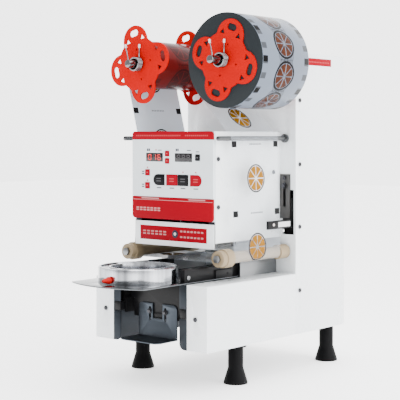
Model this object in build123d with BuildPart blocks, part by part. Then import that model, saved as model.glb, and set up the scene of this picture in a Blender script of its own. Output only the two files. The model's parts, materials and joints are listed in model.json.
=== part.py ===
from build123d import *
import math
import os

os.makedirs("parts", exist_ok=True)

# Cup sealing machine. Working datum: X = 0 on the machine's centre plane, Y = 0 on the front face
# of the cabinet (+Y towards the back), Z = 0 on the table. All sizes are in millimetres.

# ---- Driving sizes -----------------------------------------------------------------------------
body_width = 260.0
cabinet_depth = 158.0
cabinet_height = 513.0
foot_height = 67.0
sheet = 2.0
clear = 0.3
running = 0.05

arm_width = 44.0
arm_length = 251.0
arm_height = 110.4
web_height = 110.0

head_width = 190.6
head_depth = 193.4
head_bottom = 243.0
head_height = 193.0

film_width = 134.0
film_middle = -97.0
film_thickness = 0.5
reel_x = 97.0
reel_z = 559.0
supply_radius = 83.3
takeup_radius = 43.7
core_radius = 38.0
reel_shaft_radius = 7.0
shaft_tip = -205.0

lobe_radius = 29.0
lobe_offset = 44.0
disc_hub_radius = 50.0
disc_thickness = 3.0
takeup_disc_turn = 13.0
supply_disc_turn = -18.0
takeup_disc_gap = 7.5

left_rod_x = -113.0
right_rod_x = 107.0
rod_z = 423.5
rod_radius = 4.0
roller_x = 107.0
roller_z = 217.5
roller_radius = 10.0
axle_radius = 5.0
roller_front_collar = 16.0
roller_rear_collar = 13.0

ring_y = -278.0
ring_bore = 47.5
ring_radius = 68.8
ring_height = 26.5
tray_level = 178.0
tray_nose = 99.0
tray_back = -107.0
tray_arm_height = 22.0

press_travel = 21.0
die_radius = 56.0
press_rod_radius = 6.0


screw_radius = 2.0
screw_hole = 2.2
screw_head = 4.0

# ---- Sizes that follow from them ---------------------------------------------------------------
half_body = body_width / 2
cabinet_top = foot_height + cabinet_height
arm_inner = half_body - arm_width
tray_half_width = arm_inner - sheet
arm_top = foot_height + arm_height
web_top = foot_height + web_height
base_top = foot_height + sheet
half_head = head_width / 2
head_top = head_bottom + head_height
panel_face = -head_depth
film_front = film_middle - film_width / 2
film_back = film_middle + film_width / 2
ring_base = tray_level + sheet
ring_top = ring_base + ring_height
film_low = roller_z - roller_radius - clear - film_thickness

# The reels overhang the cabinet by different amounts, so the origin, under the middle of the whole
# machine's box, is worked out from the supply roll, the widest take-up lobe and the tray's nose.
lobe_reaches = []
for lobe in range(4):
    lobe_angle = math.radians(takeup_disc_turn + 90 * lobe)
    lobe_reaches.append(lobe_offset * math.cos(lobe_angle) + lobe_radius)
left_reach = -reel_x - max(lobe_reaches)
right_reach = reel_x + supply_radius
back_reach = cabinet_depth + 3.0
front_reach = ring_y - tray_nose
origin_x = (left_reach + right_reach) / 2
origin_y = (front_reach + back_reach) / 2


def save(name, piece):
    """Label a finished piece, set it about the machine's origin and write it."""
    placed = piece.part.moved(Location((-origin_x, -origin_y, 0)))
    placed.label = name
    export_step(placed, f"parts/{name}.step")


def block(x, y, z, mode=Mode.ADD):
    """Box between two limits on each axis."""
    sizes = [abs(b - a) for a, b in (x, y, z)]
    middle = [(a + b) / 2 for a, b in (x, y, z)]
    with Locations(tuple(middle)):
        Box(*sizes, mode=mode)


def bar_y(radius, x, z, y, mode=Mode.ADD):
    """Round bar along Y between two limits."""
    with Locations(Location((x, (y[0] + y[1]) / 2, z), (90, 0, 0))):
        Cylinder(radius, abs(y[1] - y[0]), mode=mode)


def bar_z(radius, x, y, z, mode=Mode.ADD):
    """Round bar along Z between two limits."""
    with Locations((x, y, (z[0] + z[1]) / 2)):
        Cylinder(radius, abs(z[1] - z[0]), mode=mode)


def bar_x(radius, y, z, x, mode=Mode.ADD):
    """Round bar along X between two limits."""
    with Locations(Location(((x[0] + x[1]) / 2, y, z), (0, 90, 0))):
        Cylinder(radius, abs(x[1] - x[0]), mode=mode)


def front_plane(y):
    """Plane facing the front at a depth, with its own X to the right and its own Y up."""
    return Plane.XZ.offset(-y)


# ---- Cabinet -----------------------------------------------------------------------------------
side_screw_y = 11.7
side_screw_heights = (146.0, 262.0, 376.0, 493.0)
flange_depth = 24.0

with BuildPart() as cabinet_cover:
    block((-half_body, half_body), (0, cabinet_depth), (foot_height, cabinet_top))
    top_edges = cabinet_cover.edges().filter_by(Axis.Y).group_by(Axis.Z)[-1]
    fillet(top_edges, radius=3)
    block(
        (-half_body + sheet, half_body - sheet),
        (-1, cabinet_depth + 1),
        (foot_height - 1, cabinet_top - sheet),
        mode=Mode.SUBTRACT,
    )
    for height in side_screw_heights:
        bar_x(screw_hole, side_screw_y, height, (-half_body - 1, half_body + 1), mode=Mode.SUBTRACT)
save("cabinet_cover", cabinet_cover)

# The front plate is let in between the cover's sides. Its mouth takes the chassis and the tray.
plate_half = half_body - sheet - 0.1
mouth_half = arm_inner + 0.2
mouth_top = ring_top + 1.5
slot_x = (99.7, 125.5)
slot_z = (247.6, 329.4)
neck_x = (99.7, 112.3)
neck_top = 345.0
bearing_hub = 15.8

with BuildPart() as front_plate:
    block((-plate_half, plate_half), (0, sheet), (base_top + 0.1, cabinet_top - sheet - 0.1))
    for side in (-1, 1):
        flange_x = (side * (plate_half - sheet), side * plate_half)
        block(flange_x, (sheet, flange_depth), (base_top + 0.1, cabinet_top - 20))
        bar_y(bearing_hub + 0.2, side * reel_x, reel_z, (-1, sheet + 1), mode=Mode.SUBTRACT)
        bar_y(axle_radius + 0.2, side * roller_x, roller_z, (-1, sheet + 1), mode=Mode.SUBTRACT)
        for height in side_screw_heights:
            bar_x(
                screw_hole,
                side_screw_y,
                height,
                (side * (plate_half - 5), side * (plate_half + 1)),
                mode=Mode.SUBTRACT,
            )
    for x in (left_rod_x, right_rod_x):
        bar_y(rod_radius + 0.2, x, rod_z, (-1, sheet + 1), mode=Mode.SUBTRACT)
    block((-mouth_half, mouth_half), (-1, sheet + 1), (foot_height, mouth_top), mode=Mode.SUBTRACT)
    block(slot_x, (-1, sheet + 1), slot_z, mode=Mode.SUBTRACT)
    block(neck_x, (-1, sheet + 1), (slot_z[1] - 1, neck_top), mode=Mode.SUBTRACT)
save("front_plate", front_plate)

inlet_x = 0.0
inlet_z = 160.0
inlet_half_width = 14.0
inlet_half_height = 25.0

with BuildPart() as back_plate:
    block(
        (-plate_half, plate_half),
        (cabinet_depth - sheet, cabinet_depth),
        (foot_height, cabinet_top - sheet - 0.1),
    )
    block(
        (inlet_x - inlet_half_width, inlet_x + inlet_half_width),
        (cabinet_depth - 5, cabinet_depth + 1),
        (inlet_z - inlet_half_height, inlet_z + inlet_half_height),
        mode=Mode.SUBTRACT,
    )
    with BuildSketch(Plane.XZ.offset(-cabinet_depth - 1)):
        with Locations((0, 470), (0, 270)):
            with GridLocations(0, 9, 1, 8):
                SlotOverall(90, 4)
    extrude(amount=sheet + 2, mode=Mode.SUBTRACT)
save("back_plate", back_plate)

foot_x = half_body - 20
front_foot_y = -150.0
rear_foot_y = 127.0
stud_radius = 4.0
stud_length = 13.0
stud_hole = stud_radius + 0.2

with BuildPart() as base_plate:
    block((-plate_half, plate_half), (sheet + 0.1, cabinet_depth - sheet - 0.1), (foot_height, base_top))
    for side in (-1, 1):
        bar_z(stud_hole, side * foot_x, rear_foot_y, (foot_height - 1, base_top + 1), mode=Mode.SUBTRACT)
save("base_plate", base_plate)

# ---- Side arms and chassis ---------------------------------------------------------------------
flange_inner = arm_inner - 17
rail_x = (arm_inner - 16, arm_inner - sheet)
rail_z = (120.0, 135.0)
arm_screw_z = 121.0
arm_screw_x = half_body - 25
wing_front = -107.0
wing_top = 205.0

with BuildPart() as chassis_plates:
    for side in (-1, 1):
        web = (side * (arm_inner - sheet), side * arm_inner)
        block(web, (sheet - arm_length, 0), (foot_height, web_top))
        block(web, (0, 150), (base_top, web_top))
        wing = (side * (tray_half_width + clear), side * arm_inner)
        block(wing, (wing_front, -0.1), (web_top, wing_top))
        block(
            (side * flange_inner, side * arm_inner),
            (-arm_length, sheet - arm_length),
            (foot_height, web_top),
        )
        block(
            (side * arm_inner, side * (half_body - sheet - 0.1)),
            (sheet - arm_length, -0.1),
            (foot_height, base_top),
        )
        tab = (side * (arm_screw_x - 6), side * (arm_screw_x + 6))
        block(tab, (sheet - arm_length, 2 * sheet - arm_length), (base_top, arm_screw_z + 9))
        notch = (side * (flange_inner - 1), side * (rail_x[1] + 0.2))
        block(
            notch,
            (-arm_length - 1, sheet - arm_length),
            (rail_z[0] - 1, rail_z[1] + 1),
            mode=Mode.SUBTRACT,
        )
        bar_z(stud_hole, side * foot_x, front_foot_y, (foot_height - 1, base_top + 1), mode=Mode.SUBTRACT)
        screw_run = (-arm_length - 1, 2 * sheet - arm_length + 1)
        bar_y(screw_hole, side * arm_screw_x, arm_screw_z, screw_run, mode=Mode.SUBTRACT)
    lower_corners = chassis_plates.edges().filter_by(Axis.Y).filter_by(
        lambda edge: abs(abs(edge.center().X) - flange_inner) < 0.01 and edge.center().Z < foot_height + 1
    )
    fillet(lower_corners, radius=11)
save("chassis_plates", chassis_plates)

with BuildPart() as arm_covers:
    for side in (-1, 1):
        block((side * arm_inner, side * half_body), (-arm_length, -0.1), (foot_height, arm_top))
    round_edges = arm_covers.edges().filter_by(Axis.Y).filter_by(
        lambda edge: abs(edge.center().X) > half_body - 1 and edge.center().Z > arm_top - 1
    )
    fillet(round_edges, radius=3)
    for side in (-1, 1):
        inside = (side * (arm_inner - 1), side * (half_body - sheet))
        block(inside, (sheet - arm_length, 1), (foot_height - 1, arm_top - sheet), mode=Mode.SUBTRACT)
        screw_run = (-arm_length - 1, sheet - arm_length + 1)
        bar_y(screw_hole, side * arm_screw_x, arm_screw_z, screw_run, mode=Mode.SUBTRACT)
save("arm_covers", arm_covers)

foot_neck = 13.3
foot_base = 21.0
foot_flare = 28.0

with BuildPart() as feet:
    for side in (-1, 1):
        for depth in (front_foot_y, rear_foot_y):
            with BuildSketch(Plane.XZ.offset(-depth)) as foot_profile:
                with BuildLine():
                    Polyline(
                        (side * foot_x, 0),
                        (side * foot_x + foot_base, 0),
                        (side * foot_x + foot_base, 3),
                    )
                    Line((side * foot_x + foot_base, 3), (side * foot_x + foot_neck, foot_flare))
                    Polyline(
                        (side * foot_x + foot_neck, foot_flare),
                        (side * foot_x + foot_neck, foot_height),
                        (side * foot_x + stud_radius, foot_height),
                        (side * foot_x + stud_radius, foot_height + stud_length),
                        (side * foot_x, foot_height + stud_length),
                        (side * foot_x, 0),
                    )
                make_face()
            revolve(axis=Axis((side * foot_x, depth, 0), (0, 0, 1)))
save("feet", feet)

# ---- Rails, tray and cup ring ------------------------------------------------------------------
with BuildPart() as slide_rails:
    for side in (-1, 1):
        rail_run = (-arm_length + 0.5, 148)
        block((side * rail_x[0], side * rail_x[1]), rail_run, rail_z)
save("slide_rails", slide_rails)

arm_bar_x = (tray_half_width - 14, tray_half_width - 4)

with BuildPart() as tray_plate:
    with BuildSketch(Plane.XY.offset(tray_level)):
        with BuildLine():
            nose = ring_y - tray_nose
            shoulder = nose + 22
            ThreePointArc((-tray_half_width, shoulder), (0, nose), (tray_half_width, shoulder))
            Polyline(
                (tray_half_width, shoulder),
                (tray_half_width, tray_back),
                (-tray_half_width, tray_back),
                (-tray_half_width, shoulder),
            )
        make_face()
        with Locations((0, ring_y)):
            Circle(ring_bore + 0.5, mode=Mode.SUBTRACT)
    extrude(amount=sheet)
save("tray_plate", tray_plate)

with BuildPart() as tray_arms:
    for side in (-1, 1):
        bar = (side * arm_bar_x[0], side * arm_bar_x[1])
        block(bar, (-250, tray_back), (ring_base, ring_base + tray_arm_height))
        block((side * arm_bar_x[1], side * tray_half_width), (-172, -126), (ring_base, ring_base + 15))
save("tray_arms", tray_arms)

knob_pin = 2.0
knob_angle = math.radians(-90)
knob_radius = 6.0
knob_length = 18.0
knob_tip = 2.2
knob_height = ring_base + 7.5
knob_out = (math.cos(knob_angle), math.sin(knob_angle), 0)
knob_reach = ring_radius + clear
knob_plane = Plane(
    origin=(knob_reach * knob_out[0], ring_y + knob_reach * knob_out[1], knob_height),
    x_dir=(knob_out[1], -knob_out[0], 0),
    z_dir=knob_out,
)
pin_depth = 9.0

with BuildPart() as cup_ring:
    with BuildSketch(Plane.XZ.offset(-ring_y)):
        with BuildLine():
            Polyline(
                (ring_bore, ring_base),
                (ring_radius, ring_base),
                (ring_radius, ring_top - 1.5),
                (ring_radius - 1.5, ring_top),
                (ring_radius - 4.5, ring_top),
                (ring_radius - 4.5, ring_top - 2.5),
                (ring_bore + 3, ring_top - 2.5),
                (ring_bore + 3, ring_top - 1),
                (ring_bore, ring_top - 1),
                (ring_bore, ring_base),
            )
        make_face()
    revolve(axis=Axis((0, ring_y, 0), (0, 0, 1)))
    with BuildSketch(knob_plane):
        Circle(knob_pin + running)
    extrude(amount=-pin_depth - 1, mode=Mode.SUBTRACT)
save("cup_ring", cup_ring)

with BuildPart() as ring_knob:
    with BuildSketch(knob_plane):
        Circle(knob_radius)
    extrude(amount=4)
    with BuildSketch(knob_plane.offset(4)):
        Circle(knob_radius)
    with BuildSketch(knob_plane.offset(knob_length)):
        Circle(knob_tip)
    loft()
    with BuildSketch(knob_plane):
        Circle(knob_pin)
    extrude(amount=-pin_depth)
save("ring_knob", ring_knob)

# Each runner hangs from the tray, sits over the rail and has a leg inside it.
runner_x = (rail_x[0] - 4, rail_x[1] - 2)

with BuildPart() as runners:
    for side in (-1, 1):
        for start in (-240, -150):
            run = (start, start + 40)
            block((side * runner_x[0], side * runner_x[1]), run, (rail_z[1] + clear, rail_z[1] + 8))
            block((side * runner_x[0], side * (rail_x[0] - clear)), run, (rail_z[0] - 4, rail_z[1] + 8))
            block((side * arm_bar_x[0], side * arm_bar_x[1]), run, (rail_z[1] + 8, tray_level))
save("runners", runners)

rest_face = -230.0
rest_half_width = 45.0
rest_bottom = 76.0
rest_top = 136.0
rest_slot_x = 18.0
rest_slot_z = (105.0, 130.0)
rest_slot_width = 5.0
rest_screw_z = 122.0
rest_shelf = 52.0

with BuildPart() as tray_hanger:
    hanger_front = rest_face + sheet + 0.2
    block((-65, 65), (hanger_front, hanger_front + sheet), (141, tray_level))
    block((-58, 58), (hanger_front, hanger_front + sheet), (110, 141))
    block((-65, 65), (hanger_front, hanger_front + 18), (tray_level - sheet, tray_level))
    for side in (-1, 1):
        bar_y(
            screw_hole,
            side * rest_slot_x,
            rest_screw_z,
            (hanger_front - 1, hanger_front + 3),
            mode=Mode.SUBTRACT,
        )
save("tray_hanger", tray_hanger)

with BuildPart() as cup_rest:
    with BuildSketch(front_plane(rest_face + sheet)) as rest_outline:
        with Locations((0, (rest_bottom + rest_top) / 2)):
            Rectangle(2 * rest_half_width, rest_top - rest_bottom)
        top_corners = rest_outline.vertices().group_by(Axis.Y)[-1]
        fillet(top_corners, radius=9)
        with Locations((0, rest_top - 13.5)):
            Rectangle(22, 27, mode=Mode.SUBTRACT)
        slot_middle = sum(rest_slot_z) / 2
        with Locations((-rest_slot_x, slot_middle), (rest_slot_x, slot_middle)):
            SlotOverall(rest_slot_z[1] - rest_slot_z[0], rest_slot_width, rotation=90, mode=Mode.SUBTRACT)
    extrude(amount=sheet)
    block(
        (-rest_half_width, rest_half_width),
        (rest_face - rest_shelf, rest_face),
        (rest_bottom, rest_bottom + sheet),
    )
    fillet(cup_rest.edges().filter_by(Axis.Z).group_by(Axis.Y)[0], radius=12)
save("cup_rest", cup_rest)

with BuildPart() as rest_screws:
    for side in (-1, 1):
        x = side * rest_slot_x
        bar_y(4.5, x, rest_screw_z, (rest_face - 1.2, rest_face - 0.2))
        bar_y(3.4, x, rest_screw_z, (rest_face - 3.8, rest_face - 1.2))
        bar_y(screw_radius, x, rest_screw_z, (rest_face - 1.2, hanger_front + sheet + 4))
        bar_y(4.0, x, rest_screw_z, (hanger_front + sheet, hanger_front + sheet + 3))
save("rest_screws", rest_screws)

# ---- Head --------------------------------------------------------------------------------------
frame_half = half_head - sheet - clear
door_half = 92.6
door_z = (232.7, 275.0)
band_bottom = 280.0
band_top = 319.0
cap_bottom = 421.5
bezel_back = panel_face + 7.4
bezel_front = bezel_back - 4.0
frame_front = bezel_back
runner_half = 2.0
door_runner_x = 85.0
door_runner_z = (266.0, 272.0)
guide_z = (head_bottom, band_bottom - 0.2)
head_screws = ((-180.0, 388.0), (-180.0, 305.0), (-22.0, 362.0))

with BuildPart() as head_frame:
    block((-frame_half, frame_half), (frame_front + 2, -0.1), (head_bottom, head_top - 6))
    block(
        (-frame_half + sheet, frame_half - sheet),
        (frame_front, -sheet - 0.1),
        (head_bottom - 1, head_top - 8),
        mode=Mode.SUBTRACT,
    )
    for side in (-1, 1):
        block((side * (frame_half - 14), side * frame_half), (frame_front, frame_front + 2), guide_z)
        block((side * (frame_half - sheet), side * frame_half), (frame_front, frame_front + 2), guide_z)
        slot = (side * (door_runner_x - runner_half - clear), side * (door_runner_x + runner_half + clear))
        block(
            slot,
            (frame_front - 1, frame_front + 3),
            (head_bottom + 0.7, door_runner_z[1] + clear),
            mode=Mode.SUBTRACT,
        )
    for depth, height in head_screws:
        bar_x(screw_hole, depth, height, (-half_head, half_head), mode=Mode.SUBTRACT)
save("head_frame", head_frame)

with BuildPart() as head_cover:
    block((-half_head, half_head), (bezel_back, -0.1), (head_bottom, head_top))
    fillet(head_cover.edges().filter_by(Axis.Y).group_by(Axis.Z)[-1], radius=3)
    block(
        (-half_head + sheet, half_head - sheet),
        (bezel_back - 1, 1),
        (head_bottom - 1, head_top - sheet),
        mode=Mode.SUBTRACT,
    )
    for depth, height in head_screws:
        bar_x(screw_hole, depth, height, (-half_head - 1, half_head + 1), mode=Mode.SUBTRACT)
save("head_cover", head_cover)

# Front panel: plain keys and two displays through a membrane on a plastic bezel.
panel_front = panel_face + 0.2
membrane_z = (band_top + 0.5, cap_bottom - 0.2)
key_gap = 0.3
key_front = panel_face - 0.8
key_back = bezel_front - 0.8
stem_radius = 1.6
stem_back = bezel_back - 1.0
left_key_x = -58.0
big_key_z = 350.0
big_key_height = 19.5
keys = {
    "key_timer_up": (-10.6, 396.7, 9.8, 9.6),
    "key_timer_down": (-10.6, 383.7, 9.8, 9.4),
    "key_reset": (60.3, 390.3, 10.6, 11.1),
    "key_mode": (left_key_x, 362.5, 11.0, 11.0),
    "key_feed": (left_key_x, 339.2, 11.0, 11.3),
    "key_auto": (-30.0, big_key_z, 26.3, big_key_height),
    "key_power": (0.6, big_key_z, 26.0, big_key_height),
    "key_manual": (26.8, big_key_z, 24.0, big_key_height),
    "key_start": (56.3, big_key_z, 25.8, big_key_height),
}
display_z = 390.0
display_height = 15.2
display_places = {-41.2: 40.5, 27.6: 40.3}


def key_outline(name, grow):
    """Outline of one key, grown all round, drawn in the sketch that is open. Outer keys have a round end."""
    x, z, width, height = keys[name]
    with Locations((x, z)):
        if name == "key_auto" or name == "key_start":
            end = -1 if name == "key_auto" else 1
            with Locations((-end * height / 4, 0)):
                Rectangle(width - height / 2 + 2 * grow, height + 2 * grow)
            with Locations((end * (width - height) / 2, 0)):
                Circle(height / 2 + grow)
        else:
            RectangleRounded(width + 2 * grow, height + 2 * grow, 1.2)


with BuildPart() as membrane:
    with BuildSketch(front_plane(bezel_front)) as membrane_outline:
        with Locations((0, sum(membrane_z) / 2)):
            Rectangle(head_width, membrane_z[1] - membrane_z[0])
    extrude(amount=bezel_front - panel_front)
    with BuildSketch(front_plane(bezel_front + 1), mode=Mode.PRIVATE) as key_holes:
        for key in keys:
            key_outline(key, key_gap)
        for x, width in display_places.items():
            with Locations((x, display_z)):
                Rectangle(width + 0.2, display_height + 0.2)
    extrude(key_holes.sketch, amount=20, mode=Mode.SUBTRACT)
save("membrane", membrane)

with BuildPart() as head_bezel:
    block((-half_head, half_head), (bezel_front, bezel_back), (band_bottom, head_top))
    for x, z, width, height in keys.values():
        bar_y(stem_radius + 0.3, x, z, (bezel_front - 1, bezel_back + 1), mode=Mode.SUBTRACT)
    for x in (-75, 75):
        for z in (335, 405):
            bar_y(3, x, z, (bezel_back, bezel_back + 1.5))
save("head_bezel", head_bezel)

with BuildPart() as displays:
    for x, width in display_places.items():
        half = width / 2
        block(
            (x - half, x + half),
            (panel_front - 0.3, bezel_front),
            (display_z - display_height / 2, display_z + display_height / 2),
        )
save("displays", displays)

for key in keys:
    with BuildPart() as key_cap:
        with BuildSketch(front_plane(key_back)):
            key_outline(key, 0)
        extrude(amount=key_back - key_front)
        bar_y(stem_radius, keys[key][0], keys[key][1], (key_back, stem_back))
    save(key, key_cap)

with BuildPart() as control_board:
    board_front = bezel_back + 1.5
    block((-82, 82), (board_front, board_front + 1.6), (328, 412))
    for x, z, width, height in keys.values():
        block((x - 3, x + 3), (bezel_back + 0.1, board_front), (z - 3, z + 3))
save("control_board", control_board)

with BuildPart() as head_cap:
    with BuildSketch(front_plane(bezel_front)) as cap_outline:
        with Locations((0, (cap_bottom + head_top) / 2)):
            Rectangle(head_width, head_top - cap_bottom)
        fillet(cap_outline.vertices().group_by(Axis.Y)[-1], radius=6)
    extrude(amount=bezel_front - panel_face + 0.4)
save("head_cap", head_cap)

with BuildPart() as head_band:
    with BuildSketch(front_plane(bezel_front)) as band_outline:
        with Locations((0, (band_bottom + band_top) / 2)):
            Rectangle(head_width, band_top - band_bottom)
        fillet(band_outline.vertices().group_by(Axis.Y)[0], radius=6)
    extrude(amount=bezel_front - panel_face + 0.4)
save("head_band", head_band)

door_back = frame_front - 0.2

with BuildPart() as safety_door:
    block((-door_half, door_half), (door_back - sheet, door_back), door_z)
    for side in (-1, 1):
        x = side * door_runner_x
        block((x - runner_half, x + runner_half), (door_back, frame_front + 4), door_runner_z)
        block(
            (x - runner_half - 2.4, x + runner_half + 2.4),
            (frame_front + 2.3, frame_front + 4),
            door_runner_z,
        )
save("safety_door", safety_door)

# ---- Press -------------------------------------------------------------------------------------
die_bottom = film_low + film_thickness + 0.5 + press_travel
die_height = 7.0
block_z = (die_bottom + die_height, die_bottom + die_height + 14)
bridge_z = (330.0, 336.0)
rod_top = 390.0
column_x = 60.0

with BuildPart() as sealing_die:
    with BuildSketch(Plane.XY.offset(die_bottom)):
        with Locations((0, film_middle)):
            Circle(die_radius)
            Circle(die_radius - 18, mode=Mode.SUBTRACT)
    extrude(amount=die_height)
    chamfer(sealing_die.edges().filter_by(GeomType.CIRCLE).group_by(Axis.Z)[0], length=1.5)
save("sealing_die", sealing_die)

with BuildPart() as press_plate:
    with BuildSketch(Plane.XY.offset(block_z[0])):
        with Locations((0, film_middle)):
            RectangleRounded(144, film_width, 10)
    extrude(amount=block_z[1] - block_z[0])
save("press_plate", press_plate)

with BuildPart() as press_rods:
    for x in (-column_x, 0, column_x):
        bar_z(press_rod_radius, x, film_middle, (block_z[1], rod_top))
    for x in (-column_x, column_x):
        bar_z(press_rod_radius + 4, x, film_middle, (rod_top - 6, rod_top))
save("press_rods", press_rods)

with BuildPart() as press_bridge:
    block((-frame_half + sheet, frame_half - sheet), (-172, -22), bridge_z)
    for x in (-column_x, 0, column_x):
        bar_z(
            press_rod_radius + running,
            x,
            film_middle,
            (bridge_z[0] - 1, bridge_z[1] + 1),
            mode=Mode.SUBTRACT,
        )
save("press_bridge", press_bridge)

with BuildPart() as press_actuator:
    bar_z(24, 0, film_middle, (bridge_z[1], rod_top + 18))
    bar_z(press_rod_radius + running, 0, film_middle, (bridge_z[1] - 1, rod_top + 4), mode=Mode.SUBTRACT)
save("press_actuator", press_actuator)

# ---- Film guides -------------------------------------------------------------------------------
guide_tip = -195.0
nut_length = 6.0

with BuildPart() as guide_rods:
    for x in (left_rod_x, right_rod_x):
        bar_y(rod_radius, x, rod_z, (guide_tip, sheet + nut_length + 4))
        bar_y(rod_radius + 4, x, rod_z, (-5, 0))
        bar_y(rod_radius + 3.5, x, rod_z, (sheet, sheet + nut_length))
save("guide_rods", guide_rods)

axle_tip = -200.0
roller_front = -195.2
roller_back = -3.0

with BuildPart() as roller_axles:
    for side in (-1, 1):
        x = side * roller_x
        bar_y(axle_radius, x, roller_z, (roller_front - 0.5, sheet + nut_length + 4))
        with BuildSketch(front_plane(roller_front - 0.3)):
            with Locations((x, roller_z)):
                RegularPolygon(7.2, 6)
        extrude(amount=roller_front - 0.3 - axle_tip)
        bar_y(axle_radius + 4, x, roller_z, (roller_back + clear, 0))
        bar_y(axle_radius + 3, x, roller_z, (sheet, sheet + nut_length))
save("roller_axles", roller_axles)

for name, side in (("roller_left", -1), ("roller_right", 1)):
    with BuildPart() as roller:
        x = side * roller_x
        bar_y(roller_radius, x, roller_z, (film_front - 1, film_back + 1))
        bar_y(roller_front_collar, x, roller_z, (film_front - 20, film_front - 1))
        bar_y(roller_front_collar - 2, x, roller_z, (roller_front, film_front - 20))
        bar_y(roller_rear_collar, x, roller_z, (film_back + 1, roller_back))
        bar_y(axle_radius + running, x, roller_z, (roller_front - 1, roller_back + 1), mode=Mode.SUBTRACT)
    save(name, roller)

# ---- Reels -------------------------------------------------------------------------------------
bearing_flange = 20.0
bearing_front = -6.0
bearing_back = 30.0

with BuildPart() as shaft_bearings:
    for side in (-1, 1):
        x = side * reel_x
        bar_y(bearing_flange - 3, x, reel_z, (bearing_front, 0))
        bar_y(bearing_hub, x, reel_z, (0, bearing_back))
        bar_y(
            reel_shaft_radius + running,
            x,
            reel_z,
            (bearing_front - 1, bearing_back + 1),
            mode=Mode.SUBTRACT,
        )
save("shaft_bearings", shaft_bearings)


def reel_shaft(side, back):
    """Shaft with a collar in front of its bearing, drawn in the part that is open."""
    bar_y(reel_shaft_radius, side * reel_x, reel_z, (shaft_tip, back))
    bar_y(reel_shaft_radius + 4, side * reel_x, reel_z, (bearing_front - 4, bearing_front - clear))


with BuildPart() as takeup_shaft:
    reel_shaft(-1, bearing_back + 16)
save("takeup_shaft", takeup_shaft)

with BuildPart() as supply_shaft:
    reel_shaft(1, bearing_back + 5)
    bar_y(reel_shaft_radius + 4, reel_x, reel_z, (bearing_back + clear, bearing_back + 5))
save("supply_shaft", supply_shaft)


def disc_sketch(side, turn):
    """Four-lobed reel disc with a teardrop and two small holes in each lobe, in the open sketch."""
    with Locations(Location((side * reel_x, reel_z, 0), (0, 0, turn))):
        Circle(disc_hub_radius)
        with PolarLocations(lobe_offset, 4):
            Circle(lobe_radius)


def disc_holes(side, turn):
    """Cut-outs of the reel disc, in the open sketch."""
    with Locations(Location((side * reel_x, reel_z, 0), (0, 0, turn))):
        with PolarLocations(lobe_offset + 15, 4):
            SlotOverall(21, 12, rotation=90)
        with PolarLocations(lobe_offset + 3, 4):
            with Locations((0, -18), (0, 18)):
                RegularPolygon(6.6, 3)
        with PolarLocations(28, 4):
            RegularPolygon(2.6, 3)


def reel_disc_boss(side, face, step):
    """Ring that centres the roll's core, on the disc side that faces the roll."""
    bar_y(core_radius - 0.2, side * reel_x, reel_z, (face, face + step))
    bar_y(core_radius - 5, side * reel_x, reel_z, (face, face + step), mode=Mode.SUBTRACT)


boss_length = 10.0

with BuildPart() as supply_discs:
    for back, turn in ((film_front, supply_disc_turn), (film_back + disc_thickness, 30)):
        with BuildSketch(front_plane(back)) as disc_face:
            disc_sketch(1, turn)
            fillet(disc_face.vertices(), radius=6)
        extrude(amount=disc_thickness)
        with BuildSketch(front_plane(back + 1), mode=Mode.PRIVATE) as holes:
            disc_holes(1, turn)
        extrude(holes.sketch, amount=disc_thickness + 2, mode=Mode.SUBTRACT)
    reel_disc_boss(1, film_front, boss_length)
    reel_disc_boss(1, film_back, -boss_length)
    for front in (film_front - disc_thickness, film_back - 6):
        bar_y(13, reel_x, reel_z, (front, front + disc_thickness + 6))
        bar_y(
            reel_shaft_radius + 0.02,
            reel_x,
            reel_z,
            (front - 1, front + disc_thickness + 7),
            mode=Mode.SUBTRACT,
        )
save("supply_discs", supply_discs)

takeup_face = film_front - takeup_disc_gap

with BuildPart() as takeup_discs:
    for back, turn in ((takeup_face, takeup_disc_turn), (film_back + disc_thickness, takeup_disc_turn)):
        with BuildSketch(front_plane(back)) as disc_face:
            disc_sketch(-1, turn)
            fillet(disc_face.vertices(), radius=6)
        extrude(amount=disc_thickness)
        with BuildSketch(front_plane(back + 1), mode=Mode.PRIVATE) as holes:
            disc_holes(-1, turn)
        extrude(holes.sketch, amount=disc_thickness + 2, mode=Mode.SUBTRACT)
    reel_disc_boss(-1, takeup_face, takeup_disc_gap + boss_length)
    reel_disc_boss(-1, film_back, -boss_length)
    for front in (takeup_face - disc_thickness, film_back - 6):
        bar_y(13, -reel_x, reel_z, (front, front + disc_thickness + 6))
        bar_y(
            reel_shaft_radius + 0.02,
            -reel_x,
            reel_z,
            (front - 1, front + disc_thickness + 7),
            mode=Mode.SUBTRACT,
        )
save("takeup_discs", takeup_discs)

for name, side, radius in (("supply_roll", 1, supply_radius), ("takeup_roll", -1, takeup_radius)):
    with BuildPart() as roll:
        bar_y(radius, side * reel_x, reel_z, (film_front, film_back))
        bar_y(core_radius, side * reel_x, reel_z, (film_front - 1, film_back + 1), mode=Mode.SUBTRACT)
    save(name, roll)

# Wrap-spring clamps: a close coil round the shaft and two wire arms to squeeze it open.
coil_turns = 5
wire_radius = 1.4
coil_radius = reel_shaft_radius + 0.3 + wire_radius
clamp_fronts = {
    "takeup_clamp": takeup_face - disc_thickness - 1,
    "supply_clamp": film_front - disc_thickness - 1,
}
arm_ends = (((-9, 3), (-20, 36)), ((3, 8), (3, 36)))

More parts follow.
